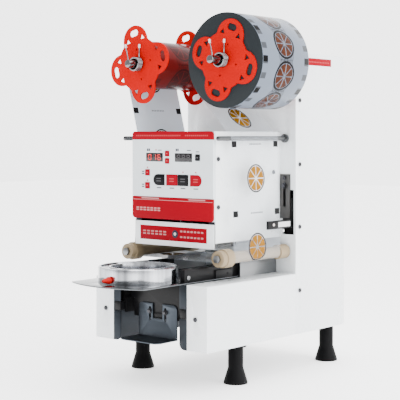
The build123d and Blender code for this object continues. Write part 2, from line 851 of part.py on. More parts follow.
for name, side in (("takeup_clamp", -1), ("supply_clamp", 1)):
    with BuildPart() as clamp:
        back = clamp_fronts[name]
        coil_length = coil_turns * 2 * wire_radius * 1.1
        bar_y(coil_radius + 0.4, side * reel_x, reel_z, (back - coil_length, back))
        for turn in range(coil_turns):
            at = back - (turn + 0.5) * coil_length / coil_turns
            with Locations(Location((side * reel_x, at, reel_z), (90, 0, 0))):
                Torus(coil_radius, wire_radius)
        bar_y(
            reel_shaft_radius + 0.05,
            side * reel_x,
            reel_z,
            (back - coil_length - 2, back + 2),
            mode=Mode.SUBTRACT,
        )
        for index, (low, high) in enumerate(arm_ends):
            at = back - wire_radius if index else back - coil_length + wire_radius
            lean = math.degrees(math.atan2(high[0] - low[0], high[1] - low[1]))
            reach = math.hypot(high[0] - low[0], high[1] - low[1])
            arm_x = side * reel_x + (low[0] + high[0]) / 2
            arm_z = reel_z + (low[1] + high[1]) / 2
            with Locations(Location((arm_x, at, arm_z), (0, lean, 0))):
                Cylinder(wire_radius, reach)
    save(name, clamp)

with BuildPart() as takeup_motor:
    block(
        (-reel_x - 24, -reel_x + 24),
        (bearing_back, bearing_back + 26),
        (reel_z - 31, reel_z + 17),
    )
    bar_y(17, -reel_x, reel_z, (bearing_back + 26, bearing_back + 90))
    bar_y(
        reel_shaft_radius + running,
        -reel_x,
        reel_z,
        (bearing_back - 1, bearing_back + 17),
        mode=Mode.SUBTRACT,
    )
save("takeup_motor", takeup_motor)

# ---- Film web ----------------------------------------------------------------------------------
# It runs from the left of the supply roll over the right guide rod, round both lower rollers, inside
# the left guide rod and up to the outer side of the take-up roll. Each contact keeps half a web and a small gap off the round.
half_web = film_thickness / 2
web_gap = clear + half_web


def tangent_line(c1, r1, c2, r2, turn1, turn2):
    """Tangent points of a line past two circles. A turn is 1 where the circle lies left of the line."""
    dx = c2[0] - c1[0]
    dz = c2[1] - c1[1]
    distance = math.hypot(dx, dz)
    heading = math.atan2(dz, dx)
    tilt = math.asin((turn2 * r2 - turn1 * r1) / distance)
    along = heading - tilt
    normal = (math.sin(along), -math.cos(along))
    start = (c1[0] + turn1 * r1 * normal[0], c1[1] + turn1 * r1 * normal[1])
    end = (c2[0] + turn2 * r2 * normal[0], c2[1] + turn2 * r2 * normal[1])
    return start, end


def round_point(centre, radius, first, second):
    """Middle point of the short arc between two points on a circle."""
    x = first[0] + second[0] - 2 * centre[0]
    z = first[1] + second[1] - 2 * centre[1]
    size = math.hypot(x, z)
    return (centre[0] + radius * x / size, centre[1] + radius * z / size)


supply_centre = (reel_x, reel_z)
takeup_centre = (-reel_x, reel_z)
rod_centre = (right_rod_x, rod_z)
left_rod_centre = (left_rod_x, rod_z)
right_centre = (roller_x, roller_z)
left_centre = (-roller_x, roller_z)
rod_turn = rod_radius + web_gap
roller_turn = roller_radius + web_gap
leave, on_rod = tangent_line(supply_centre, supply_radius + web_gap, rod_centre, rod_turn, 1, -1)
off_rod, on_right = tangent_line(rod_centre, rod_turn, right_centre, roller_turn, -1, -1)
off_right, on_left = tangent_line(right_centre, roller_turn, left_centre, roller_turn, -1, -1)
off_left, on_left_rod = tangent_line(left_centre, roller_turn, left_rod_centre, rod_turn, -1, 1)
takeup_turn = takeup_radius + web_gap
off_left_rod, arrive = tangent_line(left_rod_centre, rod_turn, takeup_centre, takeup_turn, 1, -1)
left_rod_middle = round_point(left_rod_centre, rod_turn, on_left_rod, off_left_rod)

with BuildPart() as film_web:
    with BuildSketch(front_plane(film_back)):
        with BuildLine():
            Line(leave, on_rod)
            ThreePointArc(on_rod, round_point(rod_centre, rod_turn, on_rod, off_rod), off_rod)
            Line(off_rod, on_right)
            ThreePointArc(on_right, round_point(right_centre, roller_turn, on_right, off_right), off_right)
            Line(off_right, on_left)
            ThreePointArc(on_left, round_point(left_centre, roller_turn, on_left, off_left), off_left)
            Line(off_left, on_left_rod)
            ThreePointArc(on_left_rod, left_rod_middle, off_left_rod)
            Line(off_left_rod, arrive)
        trace(line_width=film_thickness)
    extrude(amount=film_width)
save("film_web", film_web)

# ---- Film sensor -------------------------------------------------------------------------------
sensor_screw = (106.0, 336.5)
sensor_plate_z = (277.0, 358.0)
sensor_slot_z = (298.0, 341.0)
sensor_plate_x = (half_head + 0.5, 118.2)

with BuildPart() as sensor_plate:
    with BuildSketch(front_plane(0)):
        with Locations((sum(sensor_plate_x) / 2, sum(sensor_plate_z) / 2)):
            Rectangle(sensor_plate_x[1] - sensor_plate_x[0], sensor_plate_z[1] - sensor_plate_z[0])
        with Locations((sensor_screw[0], sum(sensor_slot_z) / 2)):
            SlotOverall(sensor_slot_z[1] - sensor_slot_z[0], 6, rotation=90, mode=Mode.SUBTRACT)
        with Locations((sensor_screw[0], sensor_plate_z[1] - 7)):
            Circle(screw_hole, mode=Mode.SUBTRACT)
    extrude(amount=sheet)
save("sensor_plate", sensor_plate)

with BuildPart() as film_sensor:
    block((118.5, 122.5), (-73, 6), (261, 276))
    block((100.5, 122.5), (0.2, sheet), (261, 314))
    block((100.5, 111.5), (0.2, sheet), (314, sensor_screw[1] + 5))
    bar_y(2.6, sensor_screw[0], sensor_screw[1], (-sheet - 1, 1))
    bar_y(5, sensor_screw[0], sensor_screw[1], (-sheet - 3, -sheet - 0.2))
save("film_sensor", film_sensor)

# ---- Electrics ---------------------------------------------------------------------------------
with BuildPart() as power_supply:
    block((-55, 55), (60, 150), (base_top, base_top + 42))
save("power_supply", power_supply)

rocker_pivot_z = inlet_z + 13
rocker_y = cabinet_depth - 5

with BuildPart() as mains_inlet:
    half_x = inlet_half_width - 0.2
    half_z = inlet_half_height - 0.2
    block(
        (inlet_x - half_x, inlet_x + half_x),
        (cabinet_depth - 24, cabinet_depth),
        (inlet_z - half_z, inlet_z + half_z),
    )
    block(
        (inlet_x - half_x - 4, inlet_x + half_x + 4),
        (cabinet_depth, cabinet_depth + 3),
        (inlet_z - half_z - 4, inlet_z + half_z + 4),
    )
    block(
        (inlet_x - 11.5, inlet_x + 11.5),
        (cabinet_depth - 14, cabinet_depth + 4),
        (inlet_z - 20, inlet_z - 4),
        mode=Mode.SUBTRACT,
    )
    block(
        (inlet_x - 10, inlet_x + 10),
        (cabinet_depth - 14, cabinet_depth + 4),
        (rocker_pivot_z - 9, rocker_pivot_z + 9),
        mode=Mode.SUBTRACT,
    )
    bar_x(1.55, rocker_y, rocker_pivot_z, (inlet_x - 12, inlet_x + 12), mode=Mode.SUBTRACT)
save("mains_inlet", mains_inlet)

with BuildPart() as rocker_switch:
    with BuildSketch(Plane.YZ.offset(inlet_x - 9.5)):
        with BuildLine():
            Polyline(
                (rocker_y - 4, rocker_pivot_z - 6),
                (rocker_y + 4.5, rocker_pivot_z - 7.5),
                (rocker_y + 3.2, rocker_pivot_z),
                (rocker_y + 4.5, rocker_pivot_z + 7.5),
                (rocker_y - 4, rocker_pivot_z + 6),
                (rocker_y - 4, rocker_pivot_z - 6),
            )
        make_face()
    extrude(amount=19)
    bar_x(1.5, rocker_y, rocker_pivot_z, (inlet_x - 11.5, inlet_x + 11.5))
save("rocker_switch", rocker_switch)

# ---- Fasteners ---------------------------------------------------------------------------------
with BuildPart() as machine_screws:
    for side in (-1, 1):
        for height in side_screw_heights:
            bar_x(screw_head, side_screw_y, height, (side * half_body, side * (half_body + 2)))
            bar_x(screw_radius, side_screw_y, height, (side * (half_body - 8), side * half_body))
        bar_y(screw_head, side * arm_screw_x, arm_screw_z, (-arm_length - 2, -arm_length))
        bar_y(screw_radius, side * arm_screw_x, arm_screw_z, (-arm_length, -arm_length + 8))
        for depth in (front_foot_y, rear_foot_y):
            with BuildSketch(Plane.XY.offset(base_top)):
                with Locations((side * foot_x, depth)):
                    RegularPolygon(7.5, 6)
                    Circle(stud_radius + 0.05, mode=Mode.SUBTRACT)
            extrude(amount=6.5)
        for depth, height in head_screws:
            bar_x(screw_head, depth, height, (side * half_head, side * (half_head + 2)))
            bar_x(screw_radius, depth, height, (side * (half_head - 6), side * half_head))
    bar_y(screw_head, sensor_screw[0], sensor_plate_z[1] - 7, (-sheet - 2, -sheet))
    bar_y(screw_radius, sensor_screw[0], sensor_plate_z[1] - 7, (-sheet, 0))
save("machine_screws", machine_screws)
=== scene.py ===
"""Cup sealing machine: finishes and detailed pieces set on the machine's frame."""

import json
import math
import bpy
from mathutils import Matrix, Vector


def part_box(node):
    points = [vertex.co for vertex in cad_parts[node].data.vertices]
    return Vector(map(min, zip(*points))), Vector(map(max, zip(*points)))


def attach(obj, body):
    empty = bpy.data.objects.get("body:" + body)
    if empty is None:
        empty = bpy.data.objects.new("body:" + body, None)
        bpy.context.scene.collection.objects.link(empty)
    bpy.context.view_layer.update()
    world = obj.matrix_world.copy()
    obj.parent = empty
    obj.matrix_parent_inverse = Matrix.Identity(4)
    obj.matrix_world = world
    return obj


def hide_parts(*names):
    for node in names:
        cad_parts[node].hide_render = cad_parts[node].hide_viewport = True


bl_info = {
    "name": "Cup Sealing Machine",
    "version": (1, 0, 0),
    "blender": (4, 5, 0),
    "location": "View3D > Sidebar > Cup Sealer",
    "description": "Dresses a bench-top cup sealing machine with its finishes and fine pieces",
    "category": "Object",
}

from functools import partial

import bmesh
import bpy
from mathutils import Matrix, Vector

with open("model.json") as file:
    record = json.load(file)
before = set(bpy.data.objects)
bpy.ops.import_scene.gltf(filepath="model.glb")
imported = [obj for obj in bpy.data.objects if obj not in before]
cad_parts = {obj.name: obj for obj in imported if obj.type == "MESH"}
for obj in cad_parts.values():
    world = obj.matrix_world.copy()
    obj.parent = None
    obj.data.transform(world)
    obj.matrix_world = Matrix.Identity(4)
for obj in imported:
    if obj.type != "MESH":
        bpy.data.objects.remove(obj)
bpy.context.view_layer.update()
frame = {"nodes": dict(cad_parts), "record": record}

BODY_OF = {node: body for body, nodes in frame["record"]["behaviour"]["bodies"].items() for node in nodes}
SMOOTH_ANGLE = math.radians(35)
KEYS = [node for node in sorted(BODY_OF) if node.startswith("key_")]


# ---- Settings ----------------------------------------------------------------------------------
def colour(label, about, value):
    """A colour that a user may change."""
    return bpy.props.FloatVectorProperty(
        name=label, description=about, default=value, min=0.0, max=1.0, size=3, subtype="COLOR"
    )


def length(label, about, value):
    """A length in metres that a user may change."""
    return bpy.props.FloatProperty(
        name=label, description=about, default=value, min=0.0, unit="LENGTH", subtype="DISTANCE"
    )


class SealerColours(bpy.types.PropertyGroup):
    """Colours of the machine's finishes."""

    coat: colour("Coat", "Powder coat of the covers", (0.80, 0.83, 0.85))
    band: colour("Band", "Red bands and labels of the head", (0.24, 0.0, 0.008))
    disc: colour("Discs", "Moulded reel discs", (0.40, 0.0, 0.0))
    membrane: colour("Membrane", "Keypad membrane", (0.66, 0.71, 0.74))
    film: colour("Film", "Printed sealing film", (0.56, 0.61, 0.68))
    fruit: colour("Fruit", "Fruit slices printed on the film", (0.22, 0.092, 0.0005))
    roller: colour("Rollers", "Moulded film rollers", (0.25, 0.19, 0.115))
    steel: colour("Chassis", "Chassis steel", (0.052, 0.061, 0.073))


class SealerSizes(bpy.types.PropertyGroup):
    """Sizes of the fine pieces."""

    edge: length("Edge", "Rounding of folded sheet edges", 0.0008)
    fine_edge: length("Fine edge", "Rounding of machined edges", 0.0004)
    print_pitch: length("Print pitch", "Distance from one print on the film to the next", 0.121)
    wire: length("Spring wire", "Radius of the clamp spring's wire", 0.0016)
    mark: length("Mark relief", "How far printed marks stand proud of the panel", 0.00012)
    coils: bpy.props.IntProperty(name="Coils", description="Turns of each clamp spring", default=6, min=2, max=12)


# ---- Modelling helpers -------------------------------------------------------------------------
def deselect_all():
    for chosen in list(bpy.context.selected_objects):
        chosen.select_set(False)


def activate(piece):
    """Make one object the only one that operators act on."""
    deselect_all()
    piece.select_set(True)
    bpy.context.view_layer.objects.active = piece


def apply_modifier(piece, kind, **settings):
    """Add one modifier, set it and apply it."""
    activate(piece)
    modifier = piece.modifiers.new(kind.title(), kind)
    for key, value in settings.items():
        setattr(modifier, key, value)
    bpy.ops.object.modifier_apply(modifier=modifier.name)


def round_off(piece, radius, segments=2):
    """Round the sharp edges of a finished shape and shade it by angle."""
    apply_modifier(
        piece,
        "BEVEL",
        width=radius,
        segments=segments,
        limit_method="ANGLE",
        angle_limit=math.radians(40),
        use_clamp_overlap=True,
    )
    activate(piece)
    bpy.ops.object.shade_smooth_by_angle(angle=SMOOTH_ANGLE)


def dress(piece, material, body):
    """Give a piece its finish and the body it rides on."""
    piece.data.materials.clear()
    piece.data.materials.append(material)
    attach(piece, body)
    return piece


def settle():
    """Put the active object's place, turn and size into its mesh."""
    bpy.ops.object.transform_apply(location=True, rotation=True, scale=True)
    return bpy.context.object


def slab(name, low, high, radius=0.0002, segments=2):
    """Block between two corners with rounded edges."""
    deselect_all()
    low, high = Vector(low), Vector(high)
    bpy.ops.mesh.primitive_cube_add(size=1, location=(low + high) / 2)
    piece = bpy.context.object
    piece.name = name
    piece.scale = high - low
    settle()
    round_off(piece, radius, segments)
    return piece


TURN_TO = {"X": (0, math.pi / 2, 0), "Y": (math.pi / 2, 0, 0), "Z": (0, 0, 0)}
HAIR = 0.00005


def mark(name, left, right, bottom, top, face, relief, radius=HAIR):
    """Flat raised mark on a face that looks forward."""
    return slab(name, (left, face - relief, bottom), (right, face, top), radius, 1)


def drum(name, centre, radius, depth, axis="Z", edge=0.0003, sides=48):
    """Round bar about one axis with rounded rims."""
    deselect_all()
    bpy.ops.mesh.primitive_cylinder_add(
        vertices=sides, radius=radius, depth=depth, location=centre, rotation=TURN_TO[axis]
    )
    piece = bpy.context.object
    piece.name = name
    settle()
    round_off(piece, edge)
    return piece


def join(pieces, name):
    """Join pieces into the first of them."""
    deselect_all()
    for piece in pieces:
        piece.select_set(True)
    bpy.context.view_layer.objects.active = pieces[0]
    if len(pieces) > 1:
        bpy.ops.object.join()
    joined = bpy.context.object
    joined.name = name
    return joined


def twin(source, name, matrix):
    """Copy of a piece with its own mesh, moved by a matrix."""
    copy = bpy.data.objects.new(name, source.data.copy())
    bpy.context.scene.collection.objects.link(copy)
    copy.data.transform(matrix)
    return copy


def merged_copy(node, name):
    """Copy of a CAD node's mesh with its loose triangles merged into faces."""
    piece = bpy.data.objects.new(name, frame["nodes"][node].data.copy())
    bpy.context.scene.collection.objects.link(piece)
    activate(piece)
    if piece.data.has_custom_normals:
        bpy.ops.mesh.customdata_custom_splitnormals_clear()
    bpy.ops.object.mode_set(mode="EDIT")
    bpy.ops.mesh.select_all(action="SELECT")
    bpy.ops.mesh.remove_doubles(threshold=0.000004)
    bpy.ops.mesh.dissolve_limited(angle_limit=math.radians(0.4))
    bpy.ops.object.mode_set(mode="OBJECT")
    return piece


def soften(node, material, radius, segments=2):
    """Stand a copy of a CAD node with rounded edges in its place."""
    piece = merged_copy(node, f"{node}_finished")
    round_off(piece, radius, segments)
    dress(piece, material, BODY_OF[node])
    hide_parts(node)
    return piece


def soften_each(*rows):
    """Soften several nodes; a row holds the node, its finish, its rounding and maybe its segments."""
    for node, look, *rounding in rows:
        soften(node, finish(look), *rounding)


def centre_of(node):
    """Middle of a CAD node's box."""
    low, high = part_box(node)
    return (low + high) / 2


def islands(node):
    """Lowest and highest corners of each separate solid in a CAD node."""
    shape = bmesh.new()
    shape.from_mesh(frame["nodes"][node].data)
    bmesh.ops.remove_doubles(shape, verts=shape.verts, dist=0.000004)
    left = set(shape.verts)
    found = []
    while left:
        queue = [left.pop()]
        group = []
        while queue:
            vertex = queue.pop()
            group.append(vertex.co.copy())
            for edge in vertex.link_edges:
                other = edge.other_vert(vertex)
                if other in left:
                    left.remove(other)
                    queue.append(other)
        low = Vector([min(point[axis] for point in group) for axis in range(3)])
        high = Vector([max(point[axis] for point in group) for axis in range(3)])
        found.append((low, high))
    shape.free()
    return sorted(found, key=lambda pair: tuple(round(value, 5) for value in pair[0]))


# ---- Finishes ----------------------------------------------------------------------------------
class Recipe:
    """One material's nodes, added and wired by name."""

    def __init__(self, name, base, roughness, metallic=0.0):
        self.material = bpy.data.materials.new(name)
        self.material.use_nodes = True
        self.nodes = self.material.node_tree.nodes
        self.shader = self.nodes["Principled BSDF"]
        self.set("Base Color", (*base, 1.0))
        self.set("Roughness", roughness)
        self.set("Metallic", metallic)
        self.material.diffuse_color = (*base, 1.0)

    def set(self, socket, value):
        self.shader.inputs[socket].default_value = value

    def wire(self, source, target):
        self.material.node_tree.links.new(source, target)

    def drive(self, socket, value):
        """Wire a value to one of the shader's sockets."""
        self.wire(value, self.shader.inputs[socket])

    def parts(self, vector):
        """Split a vector into its three numbers."""
        node = self.add("ShaderNodeSeparateXYZ")
        self.wire(vector, node.inputs[0])
        return node.outputs

    def vector(self, *numbers):
        """Join numbers into a vector."""
        node = self.add("ShaderNodeCombineXYZ")
        for socket, number in zip(node.inputs, numbers):
            self.feed(socket, number)
        return node.outputs[0]

    def span(self, first, second):
        """Long side of a right-angled triangle, from its two short sides."""
        squares = [self.sum("MULTIPLY", side, side) for side in (first, second)]
        return self.sum("SQRT", self.sum("ADD", *squares))

    def toned(self, value, base, dark, light):
        """One colour that runs from a darker to a lighter shade of itself."""
        return self.blend(self.ranged(value, 0.0, 1.0), shade(base, dark), shade(base, light))

    def add(self, kind, **settings):
        node = self.nodes.new(kind)
        for key, value in settings.items():
            setattr(node, key, value)
        return node

    def feed(self, socket, value):
        """Give a socket a number or wire another socket to it."""
        if hasattr(value, "links"):
            self.wire(value, socket)
        else:
            socket.default_value = value

    def sum(self, operation, *values):
        """One arithmetic node; returns its result."""
        node = self.add("ShaderNodeMath", operation=operation)
        for socket, value in zip(node.inputs, values):
            self.feed(socket, value)
        return node.outputs[0]

    def place(self, centre=(0, 0, 0), stretch=(1, 1, 1)):
        """Object coordinates about a centre, stretched on each axis."""
        source = self.add("ShaderNodeTexCoord")
        mapping = self.add("ShaderNodeMapping")
        mapping.inputs["Location"].default_value = [-middle * size for middle, size in zip(centre, stretch)]
        mapping.inputs["Scale"].default_value = stretch
        self.wire(source.outputs["Object"], mapping.inputs["Vector"])
        return mapping.outputs[0]

    def noise(self, vector, scale, detail=3.0):
        node = self.add("ShaderNodeTexNoise")
        node.inputs["Scale"].default_value = scale
        node.inputs["Detail"].default_value = detail
        self.wire(vector, node.inputs["Vector"])
        return node.outputs[0]

    def blend(self, factor, first, second):
        """Mix two colours by a factor; returns the colour."""
        node = self.add("ShaderNodeMix", data_type="RGBA")
        self.feed(node.inputs[0], factor)
        self.feed(node.inputs[6], (*first, 1.0) if isinstance(first, tuple) else first)
        self.feed(node.inputs[7], (*second, 1.0) if isinstance(second, tuple) else second)
        return node.outputs[2]

    def ranged(self, value, low, high, start=0.3, stop=0.7):
        """Stretch a value into a range; a noise value lies between the usual start and stop."""
        node = self.add("ShaderNodeMapRange")
        node.inputs["From Min"].default_value = start
        node.inputs["From Max"].default_value = stop
        node.inputs["To Min"].default_value = low
        node.inputs["To Max"].default_value = high
        self.wire(value, node.inputs["Value"])
        return node.outputs[0]

    def relief(self, height, strength, distance):
        node = self.add("ShaderNodeBump")
        node.inputs["Strength"].default_value = strength
        node.inputs["Distance"].default_value = distance
        self.wire(height, node.inputs["Height"])
        self.drive("Normal", node.outputs[0])


def shade(base, factor):
    return tuple(min(1.0, channel * factor) for channel in base)


def mottled(recipe, base, spread, scale):
    """Slight uneven tone over the surface."""
    tone = recipe.noise(recipe.place(), scale)
    recipe.drive("Base Color", recipe.toned(tone, base, 1 - spread, 1 + spread))


def powder_coat(name, base, roughness=0.28, gloss=0.35, sheen=0.5):
    """Gloss powder coat with a faint orange-peel skin."""
    recipe = Recipe(name, base, roughness)
    recipe.set("Coat Weight", gloss)
    recipe.set("Coat Roughness", 0.12)
    recipe.set("Specular IOR Level", sheen)
    mottled(recipe, base, 0.015, 9.0)
    recipe.relief(recipe.noise(recipe.place(), 900.0, 1.0), 0.06, 0.0002)
    patch = recipe.noise(recipe.place(), 30.0)
    recipe.drive("Roughness", recipe.ranged(patch, roughness - 0.04, roughness + 0.05))
    return recipe.material


def moulding(name, base, roughness, grain=1500.0, depth=0.05, coat=0.0, sheen=0.2):
    """Moulded plastic with a fine skin."""
    recipe = Recipe(name, base, roughness)
    recipe.set("Coat Weight", coat)
    recipe.set("Specular IOR Level", sheen)
    mottled(recipe, base, 0.04, 25.0)
    recipe.relief(recipe.noise(recipe.place(), grain, 2.0), depth, 0.0002)
    return recipe.material


def brushed(name, base, roughness, stretch, upper=None):
    """Sheet or bar metal with fine lines along one way; upper holds a height and the colour above it."""
    recipe = Recipe(name, base, roughness, 1.0)
    lines = recipe.noise(recipe.place(stretch=stretch), 1.0, 4.0)
    recipe.drive("Roughness", recipe.ranged(lines, roughness - 0.07, roughness + 0.09))
    tone = recipe.toned(lines, base, 0.9, 1.06)
    if upper:
        height, coat = upper
        above = recipe.sum("GREATER_THAN", recipe.parts(recipe.place())[2], height)
        tone = recipe.blend(above, tone, coat)
    recipe.drive("Base Color", tone)
    recipe.relief(lines, 0.08, 0.00008)
    return recipe.material


def reflection_streaked_metal(name, base, roughness, centre):
    """Turned metal whose upright bright and dark streaks round the rim are painted into its colour: painted
    reflections of a polished round rim.
    """
    recipe = Recipe(name, base, roughness, 1.0)
    x, y, z = recipe.parts(recipe.place(centre))
    angle = recipe.sum("ARCTAN2", y, x)
    rim = recipe.vector(recipe.sum("SINE", angle), recipe.sum("COSINE", angle))
    # Painted reflection: the base colour runs from dark to bright by noise on the angle round the rim, standing in
    # for streaks of reflected light.
    recipe.drive("Base Color", recipe.toned(recipe.noise(rim, 2.6, 3.0), base, 0.35, 2.1))
    lathe = recipe.noise(recipe.vector(recipe.span(x, y), z), 2600.0, 2.0)
    recipe.relief(lathe, 0.12, 0.00006)
    return recipe.material


EDGE_MARK_INSET, EDGE_MARK_HALF_WIDTH, EDGE_MARK_HALF_HEIGHT = 0.0075, 0.0066, 0.0054
ROW_HALF_WIDTH, ROW_HALF_HEIGHT, DASH_PITCH, DASH_GAP = 0.017, 0.0014, 0.0045, 0.0016
SPOKE_GAP = 0.0035
PRINT_BLACK = (0.002, 0.002, 0.0025)


def fruit_print(recipe, along, across, pitch, half_width, ink, fade=0.0):
    """Edge marks, a dashed row and a fruit slice; returns the colour and its inked parts."""
    kinds = ("MULTIPLY", "SUBTRACT", "GREATER_THAN", "LESS_THAN", "ABSOLUTE", "FLOORED_MODULO")
    times, less, above, below, size_of, wrapped = (partial(recipe.sum, kind) for kind in kinds)
    base = ink.get("film", tuple(bpy.context.scene.sealer_colours.film))
    step = less(wrapped(along, pitch), pitch / 2)
    side = size_of(across)
    near_edge = below(size_of(less(side, half_width - EDGE_MARK_INSET)), EDGE_MARK_HALF_WIDTH)
    marks = times(near_edge, above(size_of(step), pitch / 2 - EDGE_MARK_HALF_HEIGHT))
    radius = recipe.span(step, across)
    spoke = size_of(recipe.sum("SINE", times(recipe.sum("ARCTAN2", step, across), 4.0)))
    segments = times(above(times(spoke, radius), SPOKE_GAP), below(radius, ink["flesh"]))
    rind = times(below(radius, ink["rind"]), above(radius, ink["pith"]))
    tone = recipe.noise(recipe.place(), 160.0, 2.0)
    fruit = recipe.toned(tone, ink["colour"], 0.75, 1.2)
    mixed = recipe.blend(times(segments, 1.0 - fade), base, fruit)
    mixed = recipe.blend(times(rind, 1.0 - fade), mixed, ink.get("line", shade(ink["colour"], 0.12)))
    in_row = times(below(side, ROW_HALF_WIDTH), above(size_of(step), pitch / 2 - ROW_HALF_HEIGHT))
    dashes = times(in_row, above(wrapped(across, DASH_PITCH), DASH_GAP))
    marks = recipe.sum("MAXIMUM", marks, times(dashes, 0.8))
    return recipe.blend(marks, mixed, PRINT_BLACK), (marks, rind, segments)


FINISHES = {}
# Height where the chassis plates turn from the darker copy of the chassis steel, which is painted shade, to pale
# grey.
WING_TOP = 0.1768


def finish(name):
    return FINISHES[name]


def make_finishes():
    """Make every finish that more than one piece shares."""
    colours = bpy.context.scene.sealer_colours
    steel = tuple(colours.steel)
    FINISHES.update(
        {
            "coat": powder_coat("white_powder_coat", tuple(colours.coat)),
            "bezel": moulding("bezel_plastic", (0.62, 0.66, 0.69), 0.35),
            "band": powder_coat("red_band", tuple(colours.band), 0.35, 0.0, 0.02),
            "disc": moulding("red_disc_plastic", tuple(colours.disc), 0.45, 700.0, 0.08, 0.0, 0.02),
            "membrane": moulding("keypad_membrane", tuple(colours.membrane), 0.42, 2600.0, 0.04),
            "key_red": moulding("red_key", (0.25, 0.0, 0.010), 0.4, 2600.0, 0.04, 0.0, 0.02),
            "key_black": moulding("black_key", (0.004, 0.004, 0.005), 0.35, 2600.0, 0.04, 0.0, 0.08),
            "display": moulding("display_window", (0.006, 0.005, 0.006), 0.12, 300.0, 0.0, 0.2, 0.3),
            "roller": moulding("roller_plastic", tuple(colours.roller), 0.45, 500.0, 0.12),
            "rubber": moulding("foot_rubber", (0.003, 0.003, 0.0034), 0.5, 900.0, 0.15, 0.0, 0.06),
            "black": moulding("black_satin_paint", (0.004, 0.004, 0.0045), 0.3, 1200.0, 0.08, 0.03, 0.12),
            "black_matt": moulding("black_matt_plastic", (0.003, 0.003, 0.0034), 0.6, 1200.0, 0.12, 0.0, 0.05),
            "sensor": moulding("sensor_plastic", (0.62, 0.63, 0.64), 0.4),
            "board": moulding("board_lacquer", (0.004, 0.05, 0.015), 0.3),
            "chassis": brushed("chassis_steel", steel, 0.36, (4, 4, 260)),
            # Painted shade: darker copies of the chassis steel for the chassis plates below WING_TOP and for the
            # head frame.
            "chassis_dark": brushed(
                "chassis_steel_painted_shade", shade(steel, 0.4), 0.36, (4, 4, 260), (WING_TOP, (0.21, 0.215, 0.22))
            ),
            "frame_dark": brushed("frame_steel_painted_shade", shade(steel, 0.4), 0.36, (4, 4, 260)),
            "rod": brushed("ground_rod", (0.085, 0.087, 0.09), 0.14, (500, 20, 500)),
            "zinc": brushed("zinc_steel", (0.20, 0.205, 0.21), 0.34, (200, 200, 12)),
            "plate": brushed("sensor_plate_steel", (0.075, 0.072, 0.07), 0.4, (300, 300, 20)),
            "sheet": brushed("polished_sheet", (0.11, 0.117, 0.125), 0.13, (14, 420, 420)),
            "chrome": brushed("chrome_plate", (0.19, 0.195, 0.20), 0.09, (300, 20, 300)),
            "screw": brushed("screw_steel", (0.05, 0.05, 0.055), 0.22, (500, 500, 500)),
            "aluminium": brushed("cast_aluminium", (0.30, 0.31, 0.32), 0.32, (90, 90, 90)),
            "ring": reflection_streaked_metal("turned_aluminium", (0.30, 0.31, 0.33), 0.16, centre_of("cup_ring")),
            "ink_pale": moulding("pale_ink", (0.62, 0.56, 0.54), 0.5),
            "ink_soft": moulding("soft_ink", (0.42, 0.17, 0.17), 0.5, 2600.0, 0.02, 0.0, 0.1),
            "ink_rose": moulding("rose_ink", (0.40, 0.045, 0.05), 0.5, 2600.0, 0.02, 0.0, 0.1),
            "ink_grey": moulding("grey_ink", (0.055, 0.055, 0.06), 0.5),
            "ink_dark": moulding("dark_ink", (0.012, 0.014, 0.03), 0.5),
            "tip": moulding("red_tip_plastic", (0.36, 0.001, 0.001), 0.35, 900.0, 0.04, 0.0, 0.1),
            "brass": brushed("brass_pins", (0.40, 0.28, 0.10), 0.25, (300, 300, 300)),
        }
    )
    lit = Recipe("lit_segments", (0.4, 0.01, 0.01), 0.4)
    lit.set("Emission Color", (1.0, 0.02, 0.02, 1.0))
    lit.set("Emission Strength", 1.1)
    FINISHES["lit"] = lit.material
    unlit = Recipe("unlit_segments", (0.030, 0.028, 0.032), 0.4)
    FINISHES["unlit"] = unlit.material


# ---- Fasteners ---------------------------------------------------------------------------------
def cross_screw(name, radius, height):
    """Pan-head screw with a cross recess, head up, its seat at the origin."""
    head = drum(name, (0, 0, height / 2), radius, height, edge=height * 0.45, sides=32)
    for index, (wide, deep) in enumerate(((radius * 1.25, radius * 0.26), (radius * 0.26, radius * 1.25))):
        half = Vector((wide / 2, deep / 2, height * 0.35))
        top = Vector((0, 0, height))
        cutter = slab(f"recess_{index}", top - half, top + half, 0.00002, 1)
        apply_modifier(head, "BOOLEAN", operation="DIFFERENCE", object=cutter)
        bpy.data.objects.remove(cutter)
    activate(head)
    bpy.ops.object.shade_smooth_by_angle(angle=SMOOTH_ANGLE)
    return head


def fit_screw(master, name, seat, out):
    """Set a copy of a screw on its seat, head pointing out."""
    turn = Vector((0, 0, 1)).rotation_difference(Vector(out)).to_matrix().to_4x4()
    return twin(master, name, Matrix.Translation(Vector(seat)) @ turn)


class SEALER_OT_fasteners(bpy.types.Operator):
    """Model the screws and foot nuts"""

    bl_idname = "sealer.fasteners"
    bl_label = "Screws and nuts"

    def execute(self, context):
        head = cross_screw("screw_master", 0.004, 0.0022)
        fitted = []
        for index, (low, high) in enumerate(islands("machine_screws")):
            middle = (low + high) / 2
            size = high - low
            if size.z > 0.006 and size.x > 0.012 and size.y > 0.012:
                nut = drum(f"nut_{index}", middle, size.x / 2, size.z, "Z", 0.0005, 6)
                fitted.append(nut)
            elif 0.006 < size.y < 0.009:
                outer = high.x if middle.x > 0 else low.x
                out = (1, 0, 0) if middle.x > 0 else (-1, 0, 0)
                seat = (outer - out[0] * 0.002, middle.y, middle.z)
                fitted.append(fit_screw(head, f"screw_{index}", seat, out))
            else:
                seat = (middle.x, low.y + 0.002, middle.z)
                fitted.append(fit_screw(head, f"screw_{index}", seat, (0, -1, 0)))
        bpy.data.objects.remove(head)
        group = join(fitted, "machine_screws_finished")
        dress(group, finish("screw"), "machine")
        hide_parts("machine_screws")
        return {"FINISHED"}


